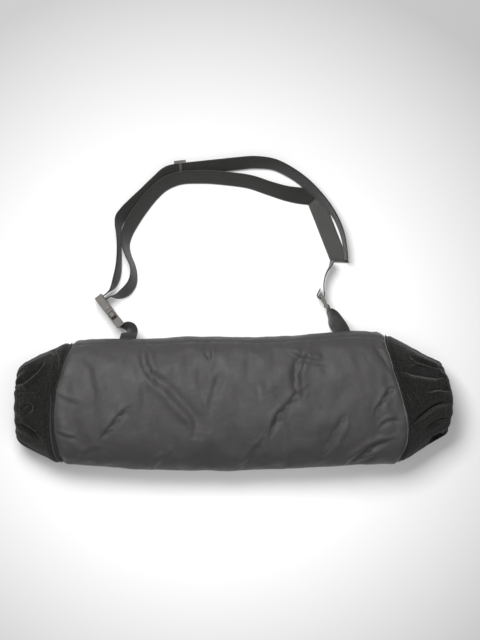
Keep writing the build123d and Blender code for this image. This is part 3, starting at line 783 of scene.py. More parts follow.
# ------------------------------------------------------------------------------------------ the muff
@dataclass(frozen=True)
class MuffForm:
    """The muff's padded form, worked out from its length and the widths along it.

    The body is a tube of rounded sections. Each section's width and middle follow smooth curves along X,
    and it is pressed flat where it lies. The left and right seams bow outwards over the crown.
    """

    stations: tuple[float, ...] = (-217, -200, -180, -150, -115, -50, 54, 101, 148, 174, 195, 210)
    half_widths: tuple[float, ...] = (61, 68.2, 72.2, 74.6, 75.6, 78.2, 77.2, 77.8, 77.8, 75.6, 71, 64)
    middles: tuple[float, ...] = (3.2, 3.4, 5.6, 5.6, 4.2, 4.5, 5.7, 8.8, 11.1, 10.2, 7.8, 7)
    crown: float = 76
    seam_height: float = 69
    pressed: float = 3

    def half_width(self, x: np.ndarray) -> np.ndarray:
        """Half of the width across Y at x, all in metres."""
        return hermite(np.array(self.stations) * MM, np.array(self.half_widths) * MM, x)

    def middle(self, x: np.ndarray) -> np.ndarray:
        """Middle of the section across Y at x, in metres."""
        return hermite(np.array(self.stations) * MM, np.array(self.middles) * MM, x)

    def half_height(self, x: np.ndarray) -> np.ndarray:
        """Half of the unpressed height at x: the crown's, falling to the seams' over the last 70 mm."""
        fall = smoothstep(120 * MM, 205 * MM, np.abs(x + 5 * MM))
        return (self.crown - (self.crown - self.seam_height) * fall + self.pressed) / 2 * MM

    def seam(self, end: End, across: np.ndarray) -> np.ndarray:
        """Give x of a seam; across runs from -1 at the front edge to 1 at the back edge."""
        bow = 1 - across**2
        if end is End.LEFT:
            return (-194 + 6 * across - 14 * bow) * MM
        return (185 - 8 * across + 13 * bow - 14 * across * bow) * MM

    def section(self, x: np.ndarray, angle: np.ndarray, inset: float | np.ndarray = 0) -> np.ndarray:
        """Give points of the body, with angle 0 at the back edge and a quarter turn at the crown.

        Y is middle + a sgn(cos) |cos|^0.9 and Z is b + b sgn(sin) |sin|^0.88, less the pressed depth,
        and Z rises smoothly from the floor as (z + sqrt(z^2 + k^2)) / 2.
        """
        a = self.half_width(x) - inset
        b = self.half_height(x) - inset
        cosine, sine = np.cos(angle), np.sin(angle)
        y = self.middle(x) + a * np.sign(cosine) * np.abs(cosine) ** 0.9
        z = self.half_height(x) + b * np.sign(sine) * np.abs(sine) ** 0.88 - self.pressed * MM
        lift = z - inset
        z = inset + (lift + np.sqrt(lift**2 + (2.5 * MM) ** 2)) / 2
        return np.stack([np.broadcast_to(x, z.shape), y, z], -1)

    def body(self, rows: int, columns: int, inset: float = 0, reach: float = 0) -> np.ndarray:
        """Give the body's grid from seam to seam.

        Args:
            rows: points along X.
            columns: points round the section.
            inset: depth below the outer surface.
            reach: how far the grid goes on past each seam.

        Returns:
            Points of shape (rows, columns, 3).
        """
        angle = np.linspace(0, TURN, columns, endpoint=False)[None, :]
        across = np.cos(angle)
        share = np.linspace(0, 1, rows)[:, None]
        left = self.seam(End.LEFT, across) - reach
        right = self.seam(End.RIGHT, across) + reach
        return self.section(left + share * (right - left), np.broadcast_to(angle, (rows, columns)), inset)


FORM = MuffForm()


@dataclass(frozen=True)
class CuffForm:
    """A gathered fleece cuff, from the seam to the hand opening and back inside.

    Attributes:
        end: which end of the muff it closes.
        rim: x of the opening at its middle, in millimetres.
        rim_lean: how much nearer the back of the opening is than its front, in millimetres.
        rim_bow: how far the middle of the opening stands out, in millimetres.
        middle: Y of the opening's middle, in millimetres.
        height: Z of the opening's middle, in millimetres.
        profile: rows of (share of the way to the rim, share of the seam's width, share of its height).
    """

    end: End
    rim: float
    rim_lean: float
    rim_bow: float
    middle: float
    height: float
    profile: tuple[tuple[float, float, float], ...]

    def rim_x(self, across: np.ndarray) -> np.ndarray:
        """Give x of the opening's edge; across runs from -1 at the front to 1 at the back."""
        lean = self.rim_lean * across - self.rim_bow * (1 - across**2)
        return (self.rim - self.end.value * lean) * MM

    def points(self, rows: int, columns: int) -> np.ndarray:
        """Give the closed grid of the cuff: outside, rim, inside and back through the padding.

        Each point of the seam keeps its angle; it moves towards the rim by the profile's first value, and
        its section shrinks by the other two about a middle that shifts towards the opening's middle.
        """
        angle = np.linspace(0, TURN, columns, endpoint=False)[None, :]
        across = np.cos(angle)
        seam_x = FORM.seam(self.end, across)
        seam = FORM.section(seam_x, angle)
        knots = np.array(self.profile)
        steps = np.linalg.norm(np.diff(knots * [0.8, 1, 0.5], axis=0), axis=1)
        at = np.concatenate([[0], np.cumsum(steps)])
        row = hermite(at, knots, np.linspace(0, at[-1], rows))
        share, wide, tall = (row[:, k][:, None] for k in range(3))
        toward = np.clip(share, 0, 1)
        x = seam_x + share * (self.rim_x(across) - seam_x)
        middle_y = FORM.middle(seam_x) + (self.middle * MM - FORM.middle(seam_x)) * toward
        base_z = FORM.half_height(seam_x) - FORM.pressed * MM
        middle_z = base_z + (self.height * MM - base_z) * toward**1.4
        y = middle_y + (seam[..., 1] - FORM.middle(seam_x)) * wide
        z = middle_z + (seam[..., 2] - base_z) * tall
        z = (z + np.sqrt(z**2 + (1.5 * MM) ** 2)) / 2
        return np.stack([x, y, z], -1)


@dataclass(frozen=True)
class Stitching:
    """A row of short stitches along a line on the cloth.

    Attributes:
        pitch: length of one stitch with its gap, in millimetres.
        length: visible length of one stitch, in millimetres.
        radius: radius of the thread, in millimetres.
        slant: how far each stitch leans across the line, in millimetres.
        rise: height of a stitch's middle over the cloth, in millimetres.
    """

    pitch: float
    length: float
    radius: float
    slant: float = 0.0
    rise: float = 0.2

    def build(self, name: str, line: np.ndarray, normals: np.ndarray,
              closed: bool = False) -> bpy.types.Object:
        """Make the stitches.

        Args:
            name: the piece's name.
            line: points along the cloth, shape (n, 3).
            normals: the cloth's unit normals there.
            closed: whether the line closes on itself.

        Returns:
            One object of separate stitches; each is a capsule, bent down into the cloth at its ends.
        """
        if closed:
            line, normals = np.concatenate([line, line[:1]]), np.concatenate([normals, normals[:1]])
        reach = np.concatenate([[0], np.cumsum(np.linalg.norm(np.diff(line, axis=0), axis=1))])
        count = int(reach[-1] / (self.pitch * MM))
        middles = (np.arange(count) + 0.5) * reach[-1] / count
        share = np.linspace(-0.5, 0.5, 7)
        at = middles[:, None] + share * self.length * MM
        path = hermite(reach, line, at)
        up = unit(hermite(reach, normals, at))
        heading = unit(np.gradient(path, axis=1))
        side = np.cross(up, heading)
        jitter = np.random.default_rng(SEED).normal(0, 0.12, (count, 1, 1)) * MM
        path = path + side * (share[None, :, None] * self.slant * MM + jitter)
        path = path + up * ((self.rise - 1.6 * self.radius * (2 * share) ** 4)[None, :, None] * MM)
        size = self.radius * MM * np.sqrt(np.clip(1 - (1.94 * share) ** 4, 0.02, 1))
        angle = np.linspace(0, TURN, 6, endpoint=False)
        ring = np.cos(angle)[:, None] * side[:, :, None] + np.sin(angle)[:, None] * up[:, :, None]
        points = path[:, :, None] + size[None, :, None, None] * ring
        stitches = [Grid(stitch, closed=False, capped=True).build(f"{name}_part") for stitch in points]
        return join_meshes(name, stitches)


NYLON_CREASES = [
    Crease(((-106, 76), (-104, 62), (-100, 44), (-96, 34)), 2.0, 4.6, 1.6),
    Crease(((-104, 50), (-90, 35), (-75, 24), (-58, 6), (-44, -12), (-46, -34)), 2.6, 6.0, -2.0),
    Crease(((-154, -36), (-143, -26), (-130, -10), (-117, 2)), 2.2, 3.6, 1.8),
    Crease(((84, 74), (79, 60), (72, 42), (73, 18), (70, 8)), 2.6, 5.0, 2.0),
    Crease(((86, 24), (76, 14), (62, 0), (50, -16), (42, -34)), 2.6, 4.4, -2.0),
    Crease(((60, 66), (76, 58), (92, 54), (108, 52)), 1.8, 3.6, 1.4),
    Crease(((130, -8), (123, -20), (114, -36), (104, -56)), 2.2, 4.6, 1.8),
    Crease(((8, -74), (17, -64), (26, -52), (34, -36)), 2.0, 4.6, 1.6),
    Crease(((126, -72), (144, -58), (162, -46), (186, -36)), 2.6, 4.0, 2.2),
    Crease(((140, -66), (158, -60), (172, -52)), 1.8, 2.8, 1.4),
    Crease(((-31, 78), (-30, 68), (-27, 54)), 1.8, 3.4, 1.2),
    Crease(((-28, -4), (-24, 10), (-18, 28), (-12, 44)), 1.2, 5.0, 1.0),
    Crease(((162, -8), (171, 4), (180, 18), (190, 24)), 2.2, 2.8, 1.8),
    Crease(((166, 68), (174, 58), (182, 42)), 1.6, 2.8, 1.4),
    Crease(((168, -24), (178, -16), (194, -14)), 1.8, 2.4, 1.4),
    Crease(((-206, -28), (-194, -34), (-180, -36)), 1.6, 2.4, 1.2),
    Crease(((-206, 16), (-194, 8), (-176, 4)), 1.2, 3.0, 0.9),
    Crease(((-176, 56), (-166, 34), (-162, 10)), 1.2, 6.0, 0.9),
    Crease(((-92, -78), (-84, -66), (-72, -52)), 1.4, 4.0, 1.0),
    Crease(((-180, -60), (-166, -52), (-150, -48)), 1.2, 4.0, 1.0),
    Crease(((16, 66), (28, 40), (30, 12)), 1.0, 7.0, 0.8),
]

LEFT_CUFF_CREASES = [
    Crease(((-252, 27), (-243, 33), (-234, 41), (-222, 50)), 8.8, 3.9, -3.9),
    Crease(((-253, 19.5), (-242, 19), (-224, 20)), 2.5, 1.3, 1.1),
    Crease(((-253, 13.5), (-240, 14), (-223, 13)), 2.5, 1.3, 0.9),
    Crease(((-246, -2), (-240, 4), (-234, 0), (-240, -8)), 4.5, 1.9, 1.8),
    Crease(((-251, -18), (-240, -24), (-224, -36)), 4.5, 2.9, 2.4),
    Crease(((-214, 22), (-213, 2), (-214, -26), (-211, -52), (-204, -64)), 4.2, 2.6, 0.0),
    Crease(((-214, 68), (-205, 60), (-204, 40)), 2.9, 2.2, 0.0),
]

RIGHT_CUFF_CREASES = [
    Crease(((239, 45), (224, 50), (206, 59)), 5.3, 2.8, 2.6),
    Crease(((244, 36), (232, 37.5), (218, 40), (196, 43)), 9.1, 3.8, -3.6),
    Crease(((252, 20), (243, 22), (234, 22), (222, 17)), 5.6, 2.4, 2.4),
    Crease(((253, 7), (243, 5), (232, 1), (220, -8), (203, -22)), 8.5, 3.2, 3.6),
    Crease(((250, -12), (236, -16), (222, -26)), 3.5, 2.4, 1.5),
    Crease(((246, -32), (238, -34), (228, -40)), 6.0, 2.2, 2.1),
    Crease(((200, 20), (208, 10), (214, 6)), 2.5, 2.1, 1.1),
]


@dataclass
class Muff:
    """The muff's body: nylon shell, batting, lining and their sewing."""

    rows: int = 320
    columns: int = 210
    nylon: NylonFinish = field(default_factory=NylonFinish)
    settling: ClothSettling = field(default_factory=ClothSettling)
    shell: np.ndarray | None = None

    def shell_points(self) -> np.ndarray:
        """Give the nylon's outer surface: settled by simulation, seam valleys pressed in, then creased."""
        coarse = FORM.body(150, 120, reach=0.5 * MM)
        n, m = coarse.shape[:2]
        seed = smooth_noise((n, m), (14, 10), SEED) + 0.5 * smooth_noise((n, m), (34, 22), SEED + 1)
        normals = grid_normals(coarse)
        start = coarse + normals * (seed * 0.6 * MM)[..., None]
        edge = np.minimum(np.arange(n), n - 1 - np.arange(n))[:, None] / 4
        under = smoothstep(-0.4, -0.9, normals[..., 2])
        sides = 0.55 * (1 - smoothstep(0.25, 0.75, np.abs(normals[..., 2])))
        firm = np.clip(np.maximum(np.maximum(1 - edge, 0.8 * under), sides), 0, 1)
        settled = self.settling.run("nylon_trial", start, firm)
        fine = refined(settled, self.rows, self.columns)
        rows = np.linspace(0, 1, self.rows)
        length = 385 * MM
        gap = np.minimum(rows, 1 - rows) * length
        valley = (2.2 * MM * np.exp(-((gap / (4.5 * MM)) ** 2))
                  - 0.7 * MM * np.exp(-(((gap - 8 * MM) / (5 * MM)) ** 2)))
        pucker = smooth_noise((self.rows, self.columns), (60, 46), SEED + 2)
        near = np.exp(-((gap / (16 * MM)) ** 2))[:, None]
        normals = grid_normals(fine)
        fine = fine - normals * (valley[:, None] - 0.8 * MM * pucker * near)[..., None]
        row = self.topstitch_column()
        seam = np.exp(-(((np.arange(self.columns) - row) / 1.3) ** 2))[None, :]
        fine = fine - grid_normals(fine) * (seam * 0.7 * MM)[..., None]
        fine = creased(fine, NYLON_CREASES)
        ripple = smooth_noise((self.rows, self.columns), (90, 60), SEED + 3)
        fine = fine + grid_normals(fine) * (ripple * 0.10 * MM)[..., None]
        fine[..., 2] = np.maximum(fine[..., 2], 0.2 * MM)
        return fine

    def topstitch_column(self) -> int:
        """Give the column of the grid that the back seam runs along."""
        return int(round(self.columns * 0.068))

    def build_shell(self) -> None:
        """Make the nylon tube, 0.9 mm thick, with its edges turned in at the cuffs."""
        self.shell = self.shell_points()
        inner = self.shell[::8] - grid_normals(self.shell)[::8] * 0.9 * MM
        ends = [0, -1]
        inner = np.concatenate([inner[:-1], (self.shell - grid_normals(self.shell) * 0.9 * MM)[-1:]])
        inner[ends] = inner[ends]
        points = np.concatenate([self.shell, inner[::-1]])
        piece = Grid(points).build("muff_shell")
        self.nylon.recipe().dress(piece)
        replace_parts(piece, "shell_body")
        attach(piece, Body.MUFF.value)

    def build_core(self) -> None:
        """Make the batting and the lining as plain tubes under the nylon."""
        batting = BattingFinish("bonded_batting", Slot.BATTING, (0.62, 0.60, 0.56))
        lining = FleeceFinish("fleece_lining", Slot.LINING, (0.02, 0.02, 0.018))
        for name, outer, inner, finish, node in (
            ("muff_batting", 5.5, 10.2, batting, "insulation"),
            ("muff_lining", 10.6, 13.0, lining, "lining"),
        ):
            outside = FORM.body(60, 72, outer * MM)
            inside = FORM.body(60, 72, inner * MM)
            piece = Grid(np.concatenate([outside, inside[::-1]])).build(name)
            finish.recipe().dress(piece)
            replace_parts(piece, node)
            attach(piece, Body.MUFF.value)

    def build_trim(self) -> None:
        """Sew the topstitched back seam and the seams beside both cuffs."""
        normals = grid_normals(self.shell)
        dark = ThreadFinish("dark_sewing_thread", Slot.DARK_THREAD, (0.03, 0.029, 0.03)).recipe()
        light = ThreadFinish("grey_sewing_thread", Slot.SEAM_THREAD, (0.26, 0.25, 0.24)).recipe()
        column = self.topstitch_column()
        span = slice(int(self.rows * 0.17), int(self.rows * 0.86))
        rows = Stitching(3.2, 2.5, 0.28)
        piece = rows.build("back_seam_stitches", self.shell[span, column], normals[span, column])
        dark.dress(piece)
        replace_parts(piece, "back_topstitch")
        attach(piece, Body.MUFF.value)
        half = self.columns // 2
        upper = slice(2, half - 2)
        overlock = Stitching(2.6, 2.3, 0.26, slant=1.0, rise=0.35)
        for end, row, recipe in ((End.LEFT, 2, dark), (End.RIGHT, -3, light)):
            line, up = self.shell[row, upper], normals[row, upper]
            piece = overlock.build(f"seam_stitches_{end.name.lower()}", line, up)
            recipe.dress(piece)
            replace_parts(piece, f"seam_binding_{end.name.lower()}")
            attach(piece, Body.MUFF.value)

    def build(self) -> None:
        """Make every piece of the body."""
        self.build_shell()
        self.build_core()
        self.build_trim()


LEFT_PROFILE = (
    (0.0, 1.0, 1.0), (0.02, 0.975, 0.975), (0.07, 0.985, 0.98), (0.32, 0.905, 0.91), (0.55, 0.82, 0.84),
    (0.75, 0.735, 0.77), (0.9, 0.66, 0.69), (0.975, 0.585, 0.61), (1.0, 0.515, 0.53), (0.97, 0.45, 0.46),
    (0.88, 0.415, 0.40), (0.70, 0.43, 0.42), (0.45, 0.53, 0.50), (0.1, 0.74, 0.60), (-0.1, 0.80, 0.62),
    (-0.12, 0.86, 0.75), (-0.08, 0.93, 0.88), (-0.02, 0.955, 0.95),
)
RIGHT_PROFILE = (
    (0.0, 1.0, 1.0), (0.02, 0.975, 0.975), (0.06, 0.975, 0.98), (0.15, 0.945, 0.96), (0.43, 0.815, 0.86),
    (0.72, 0.675, 0.76), (0.89, 0.605, 0.68), (0.97, 0.565, 0.61), (1.0, 0.51, 0.53), (0.97, 0.45, 0.46),
    (0.88, 0.42, 0.41), (0.70, 0.43, 0.42), (0.45, 0.53, 0.50), (0.1, 0.74, 0.60), (-0.1, 0.80, 0.62),
    (-0.12, 0.86, 0.75), (-0.08, 0.93, 0.88), (-0.02, 0.955, 0.95),
)


@dataclass
class Cuff:
    """One fleece cuff with its elastic and hem stitching."""

    form: CuffForm
    creases: list[Crease]
    gathers: int
    rows: int = 190
    columns: int = 230

    def surface(self) -> np.ndarray:
        """Give the cuff's surface: the gathered form, its folds, and the lumps of the pile.

        Gathers are waves round the section, (1 + 0.5 noise) cos(n angle + drift), that grow towards the
        rim and fade inside.
        """
        points = self.form.points(self.rows, self.columns)
        shape = (self.rows, self.columns)
        seam_x = points[:1, :, 0]
        rim_x = self.form.rim_x(np.cos(np.linspace(0, TURN, self.columns, endpoint=False)))[None, :]
        share = np.clip((points[..., 0] - seam_x) / (rim_x - seam_x), 0, 1)
        angle = np.linspace(0, TURN, self.columns, endpoint=False)[None, :]
        drift = 1.4 * smooth_noise(shape, (4, 7), SEED + 5 + self.gathers)
        strength = 1 + 0.5 * smooth_noise(shape, (5, 9), SEED + 6 + self.gathers)
        waves = np.cos(self.gathers * angle + drift) * strength * smoothstep(0.1, 1.0, share)
        normals = grid_normals(points)
        outwards = unit(points - points.mean(1, keepdims=True))
        outer = smoothstep(-0.1, 0.3, np.einsum("ijk,ijk->ij", normals, outwards))
        points = points + normals * (waves * (0.3 + 0.7 * outer) * 0.65 * MM)[..., None]
        turn = int(self.rows * 0.52)
        points[:turn] = creased(points[:turn], self.creases)
        lumps = (smooth_noise(shape, (60, 70), SEED + 8) * 0.14
                 + smooth_noise(shape, (26, 30), SEED + 9) * 0.20)
        spread = np.random.default_rng(SEED + 10).normal(0, 0.03, shape)
        points = points + grid_normals(points) * ((lumps + spread) * MM)[..., None]
        points[..., 2] = np.maximum(points[..., 2], 0.3 * MM)
        return points

    def build(self) -> None:
        """Make the fleece, the elastic inside it and the hem stitches on it."""
        side = self.form.end.name.lower()
        points = self.surface()
        fleece = Grid(points).build(f"fleece_cuff_{side}")
        FleeceFinish("fleece_cuff", Slot.FLEECE, (0.0052, 0.0054, 0.0046)).recipe().dress(fleece)
        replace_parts(fleece, f"cuff_{side}")
        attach(fleece, Body.MUFF.value)
        outside, inside = points[int(self.rows * 0.40)], points[int(self.rows * 0.56)]
        casing = (outside + inside)[::3] / 2
        elastic = tube_along(casing, 0.9 * MM, 8, closed=True).build(f"cuff_elastic_{side}")
        BattingFinish("braided_elastic", Slot.ELASTIC, (0.5, 0.5, 0.48)).recipe().dress(elastic)
        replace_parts(elastic, f"elastic_{side}")
        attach(elastic, Body.MUFF.value)
        row = int(self.rows * 0.34)
        rows = Stitching(3.4, 2.2, 0.25, rise=-0.05)
        normals = grid_normals(points)
        hem = rows.build(f"hem_stitches_{side}", points[row], normals[row], closed=True)
        ThreadFinish("dark_hem_thread", Slot.DARK_THREAD, (0.03, 0.03, 0.03)).recipe().dress(hem)
        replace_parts(hem, f"hem_thread_{side}")
        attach(hem, Body.MUFF.value)


LEFT_CUFF = CuffForm(End.LEFT, -252, 0.5, 2.5, 3, 28.5, LEFT_PROFILE)
RIGHT_CUFF = CuffForm(End.RIGHT, 245.5, 3.0, 9.0, 9.3, 30, RIGHT_PROFILE)


# ------------------------------------------------------------------------------------------ the belt
@dataclass(frozen=True)
class Ribbon:
    """A strip of webbing along a route.

    Attributes:
        route: points (x, y, z, tilt); lengths in millimetres, tilt in degrees with 90 on edge. The strip's
            left side, seen along the route, is the raised one.
        width: width of the webbing in millimetres.
        thickness: thickness in millimetres.
        cup: how far the middle stands off the line through both edges, in millimetres.
        shear: how far each end slants along the route, in millimetres, for the start and the end.
        offset: how far the whole strip lies off its route towards its upper face, in millimetres.
        step: distance between sections in millimetres.
    """

    route: tuple[tuple[float, float, float, float], ...]
    width: float = 19.8
    thickness: float = 1.3
    cup: float = 0.35
    shear: tuple[float, float] = (0.0, 0.0)
    offset: float = 0.0
    step: float = 1.5

    def build(self, name: str) -> bpy.types.Object:
        """Make the strip.

        The route is a smooth curve with knots spaced by distance. The width direction is the level left
        side times cos(tilt) plus up times sin(tilt), squared to the heading. The section is a flat loop
        whose half thickness is t sqrt(1 - |s|^12) for s from -1 to 1 across.
        """
        knots = np.array(self.route, float)
        reach = np.concatenate([[0], np.cumsum(np.linalg.norm(np.diff(knots[:, :3], axis=0), axis=1))])
        count = max(8, int(reach[-1] / self.step))
        at = np.linspace(0, reach[-1], count)
        line = hermite(reach, knots, at)
        centre, tilt = line[:, :3], np.radians(line[:, 3:4])
        heading = unit(np.gradient(centre, axis=0))
        left = unit(np.cross([[0, 0, 1.0]], heading))
        wide = left * np.cos(tilt) + np.array([[0, 0, 1.0]]) * np.sin(tilt)
        wide = unit(wide - heading * np.einsum("ij,ij->i", wide, heading)[:, None])
        face = np.cross(heading, wide)
        half = np.linspace(-1, 1, 15)
        across = np.concatenate([half, half[-2:0:-1]])
        side = np.concatenate([np.ones(15), -np.ones(13)])
        bulge = side * self.thickness / 2 * np.sqrt(1 - np.abs(across) ** 12)
        wave = smooth_noise((count, len(across)), (max(2, count // 12), 3), SEED + len(name)) * 0.25
        lean = (self.shear[0] * (1 - smoothstep(0, 26, at))
                + self.shear[1] * smoothstep(0, 26, at - reach[-1] + 26))
        height = bulge[None] + self.cup * (1 - across[None] ** 2) + self.offset + wave
        points = (
            centre[:, None]
            + wide[:, None] * (across[None, :, None] * self.width / 2)
            + face[:, None] * height[..., None]
            + heading[:, None] * (lean[:, None] * across[None])[..., None]
        )
        points[..., 2] = np.maximum(points[..., 2], 0.02 + 0.2 * (side[None] > 0))
        ring = np.append(across, across[0]) * self.width / 2 * MM
        return Grid(points * MM, closed=False, capped=True, along=at * MM, across=ring).build(name)


def turned_round(bar: tuple[float, float], radius: float, start: float, turn: float, height: float,
                 tilt: float = 90) -> list[tuple[float, float, float, float]]:
    """Give route points of webbing turned round an upright bar.

    Args:
        bar: the bar's place in the plan, in millimetres.
        radius: radius of the webbing's middle line.
        start: angle of the first point from +X, in degrees.
        turn: angle that the webbing goes on for, in degrees, anticlockwise when above zero.
        height: height of the webbing's middle.
        tilt: tilt of the webbing.
    """
    angles = np.radians(start + turn * np.linspace(0, 1, 7))
    return [(bar[0] + radius * math.cos(a), bar[1] + radius * math.sin(a), height, tilt) for a in angles]


BUCKLE_HEADING = math.radians(127.4)
SOCKET_BAR = (-132.6, 96.1)
PLUG_BAR = (-154.7, 125.0)
RING_ANCHOR_BAR = (109.0, 117.5)
RING_TAIL_BAR = (102.2, 130.9)
OUTER_ROUTE = (
    (-146, 135, 12, 90), (-141, 141, 11, 74), (-136.6, 152, 10.4, 66), (-134.4, 165, 10.3, 70),
    (-133.8, 181, 10.2, 75), (-134.4, 203, 9.9, 74), (-134.2, 214, 9.7, 62), (-132.4, 220.6, 9.5, 50),
    (-127, 227.5, 9.4, 44), (-117, 237.4, 9.4, 42), (-104, 249.6, 9.5, 42), (-90, 262.8, 9.8, 41),
    (-76, 274.6, 10, 40), (-61.6, 277.57, 10, 40), (-47, 279.16, 10, 40), (-20, 282.1, 10, 41),
    (4, 284.7, 10, 42), (26, 286.4, 10, 44), (46, 284.0, 10, 48), (68, 273.6, 10.2, 52),
    (88, 258.4, 10.4, 54), (103, 243.5, 10.4, 62), (117.6, 225, 10.4, 72), (127, 204, 10.4, 76),
    (131, 184, 10.4, 78), (132, 172, 10.4, 78),
)
INNER_ROUTE = (
    (-142.5, 129.5, 12, 90), (-134.5, 130.6, 11, 66), (-126, 135.2, 10, 54), (-119, 144, 9.4, 56),
    (-116.8, 155.5, 9.4, 66), (-118.6, 166.5, 9.4, 72), (-123, 177, 9.2, 70), (-126.2, 191, 8.6, 60),
    (-124.2, 204, 8, 46), (-117.6, 217.5, 7.4, 38), (-106.5, 234, 7.2, 38), (-94.5, 248.4, 7.2, 40),
    (-82, 260, 7.2, 40), (-66, 267, 7.2, 40), (-39, 269.2, 7.2, 38), (-7, 267.2, 7.0, 37),
    (22, 262.8, 6.6, 36), (43, 255.6, 5.8, 34), (64, 249.6, 4.8, 26), (80, 247.2, 3.2, 12),
    (90, 246.4, 1.6, 4), (98, 245.4, 0.9, 0),
)
FLAT_ROUTE = (
    (95.4, 243.6, 3.4, 0), (98.4, 236, 3.0, 0), (102.6, 225.4, 1.4, 0), (109, 209, 0.85, 0),
    (117, 188.6, 0.85, 0), (124.6, 169.4, 1.0, 0),
)
TAIL_ROUTE = (
    (116, 171, 11.5, 76), (113.4, 165, 12.6, 84), (108.5, 156.4, 13, 88), (105.6, 143, 13, 90),
)


@dataclass
class Belt:
    """The webbing belt: its two runs, flat stretch, tail and anchor straps."""

    webbing: Recipe

    def finish(self, piece: bpy.types.Object, *nodes: str) -> bpy.types.Object:
        """Dress a strip and let it stand for its CAD nodes."""
        self.webbing.dress(piece)
        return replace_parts(piece, *nodes) if nodes else piece

    def build_runs(self) -> None:
        """Make the outer and the inner run, which bend where they leave the buckle."""
        outer = self.finish(Ribbon(OUTER_ROUTE).build("belt_outer_webbing"), "belt_outer_run")
        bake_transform(outer)
        inner = self.finish(Ribbon(INNER_ROUTE).build("belt_inner_webbing"), "belt_inner_run")
        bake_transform(inner)
        u = (math.cos(BUCKLE_HEADING), math.sin(BUCKLE_HEADING))
        near = [(-142.5, 129.5, 12, 90), (-144.6, 128.8, 12.8, 90)]
        far = [(-148.6, 132.4, 12.8, 90), (-146, 135, 12, 90)]
        start = math.degrees(math.atan2(-u[1], -u[0]))
        loop = near + turned_round(PLUG_BAR, 2.45, start, -180, 13) + far
        strip = Ribbon(tuple(loop), cup=0, step=0.6).build("plug_webbing_loop")
        piece = self.finish(strip, "belt_buckle_loop")
        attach(piece, Body.PLUG.value)

    def build_flat(self) -> None:
        """Make the folded flat stretch with its hem stitches, and the tail to the end ring."""
        strip = Ribbon(FLAT_ROUTE, cup=0.1, shear=(-3.4, 4.5)).build("belt_flat_webbing")
        flat = self.finish(strip, "belt_flat_run")
        # Painted light: the flat stretch gets a lighter copy of the webbing, because it faces up into the
        # lamps.
        WebbingFinish("lit_flat_belt_webbing", colour=(0.040, 0.0393, 0.0368)).recipe().dress(flat)
        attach(flat, Body.BELT.value)
        start, end = np.array([113.2, 173.6, 1.7]) * MM, np.array([133.2, 172.4, 1.9]) * MM
        line = start + np.linspace(0, 1, 12)[:, None] * (end - start)
        up = np.tile([0, 0, 1.0], (12, 1))
        hem = Stitching(1.9, 1.7, 0.32, slant=0.8, rise=0.3).build("belt_hem_stitches", line, up)
        ThreadFinish("dark_webbing_thread", Slot.DARK_THREAD, (0.02, 0.02, 0.018)).recipe().dress(hem)
        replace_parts(hem, "belt_hem_stitch")
        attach(hem, Body.BELT.value)
        loop = turned_round(RING_TAIL_BAR, 4.15, 20, -250, 13) + [(101.5, 138.5, 13, 90)]
        strip = Ribbon(TAIL_ROUTE + tuple(loop), cup=0).build("belt_tail_webbing")
        tail = self.finish(strip, "belt_tail")
        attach(tail, Body.BELT.value)

    def build_anchors(self) -> None:
        """Make the two straps that are sewn into the muff's back seam."""
        left_loop = turned_round(SOCKET_BAR, 2.45, 217.4, 180, 13)
        routes = {
            "left": tuple(left_loop[::-1]) + (
                (-130.6, 93.2, 13, 90), (-126.4, 91.2, 15, 80), (-122.4, 90.6, 20.5, 56),
                (-121.0, 88.4, 28, 38), (-122.0, 83.6, 35.5, 22), (-124, 76, 39, 12),
            ),
            "right": tuple(turned_round(RING_ANCHOR_BAR, 2.7, 207, -180, 13)) + (
                (111.6, 112.6, 13, 74), (114.6, 107, 16, 52), (119.4, 99, 26, 26),
                (124.6, 90.5, 35.5, 6), (126.4, 86, 38.5, 0), (127, 80, 39.5, 0),
            ),
        }
        for side, route in routes.items():
            piece = self.finish(
                Ribbon(route, cup=0.2, step=1.0).build(f"anchor_{side}_webbing"),
                f"anchor_{side}_strap", f"anchor_{side}_sewn_end",
            )
            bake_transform(piece)

    def build(self) -> None:
        """Make every piece of webbing."""
        self.build_runs()
        self.build_flat()
        self.build_anchors()


def build_bartacks(shell: np.ndarray) -> None:
    """Sew a dense zigzag into the nylon over each anchor strap."""
    normals = grid_normals(shell)
    for side, centre in (("left", -0.128), ("right", 0.127)):
        columns = range(4, 30)
        heights = shell[shell.shape[0] // 2, 4:30, 2]
        column = columns[int(np.argmin(np.abs(heights - 0.0435)))]
        rows = np.flatnonzero(np.abs(shell[:, column, 0] - centre) < 0.011)
        line, up = shell[rows, column], normals[rows, column]
        piece = Stitching(0.9, 2.4, 0.26, slant=2.2, rise=0.35).build(f"bartack_stitches_{side}", line, up)
        ThreadFinish("bartack_thread", Slot.DARK_THREAD, (0.03, 0.03, 0.03)).recipe().dress(piece)
        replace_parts(piece, f"bartack_{side}")
        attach(piece, Body.MUFF.value)


# ------------------------------------------------------------------------------------------ stage
def aim(piece: bpy.types.Object, target: tuple[float, float, float]) -> None:
    """Turn a lamp or camera so that its -Z axis points at a place."""
    away = piece.location - Vector(target)
    piece.rotation_euler = away.to_track_quat("Z", "Y").to_euler()


def add_lamp(name: str, place: tuple[float, float, float], target: tuple[float, float, float],
             size: float, power: float,
             colour: tuple[float, float, float] = (1, 1, 1)) -> bpy.types.Object:
    """Add a square area lamp; lengths in metres, power in watts."""
    data = bpy.data.lights.new(name, "AREA")
    data.size = size
    data.energy = power
    data.color = colour
    lamp = bpy.data.objects.new(name, data)
    bpy.context.scene.collection.objects.link(lamp)
    lamp.location = place
    aim(lamp, target)
    return lamp


FLOOR_HALF_SIZE = 4
FLOOR_DROP = 0.0004
FLOOR_BRIGHT_PLACE = (-0.02, 0.02, 0.0)
FLOOR_BRIGHT_RADIUS = 0.13
FLOOR_GREY_RADIUS = 0.50


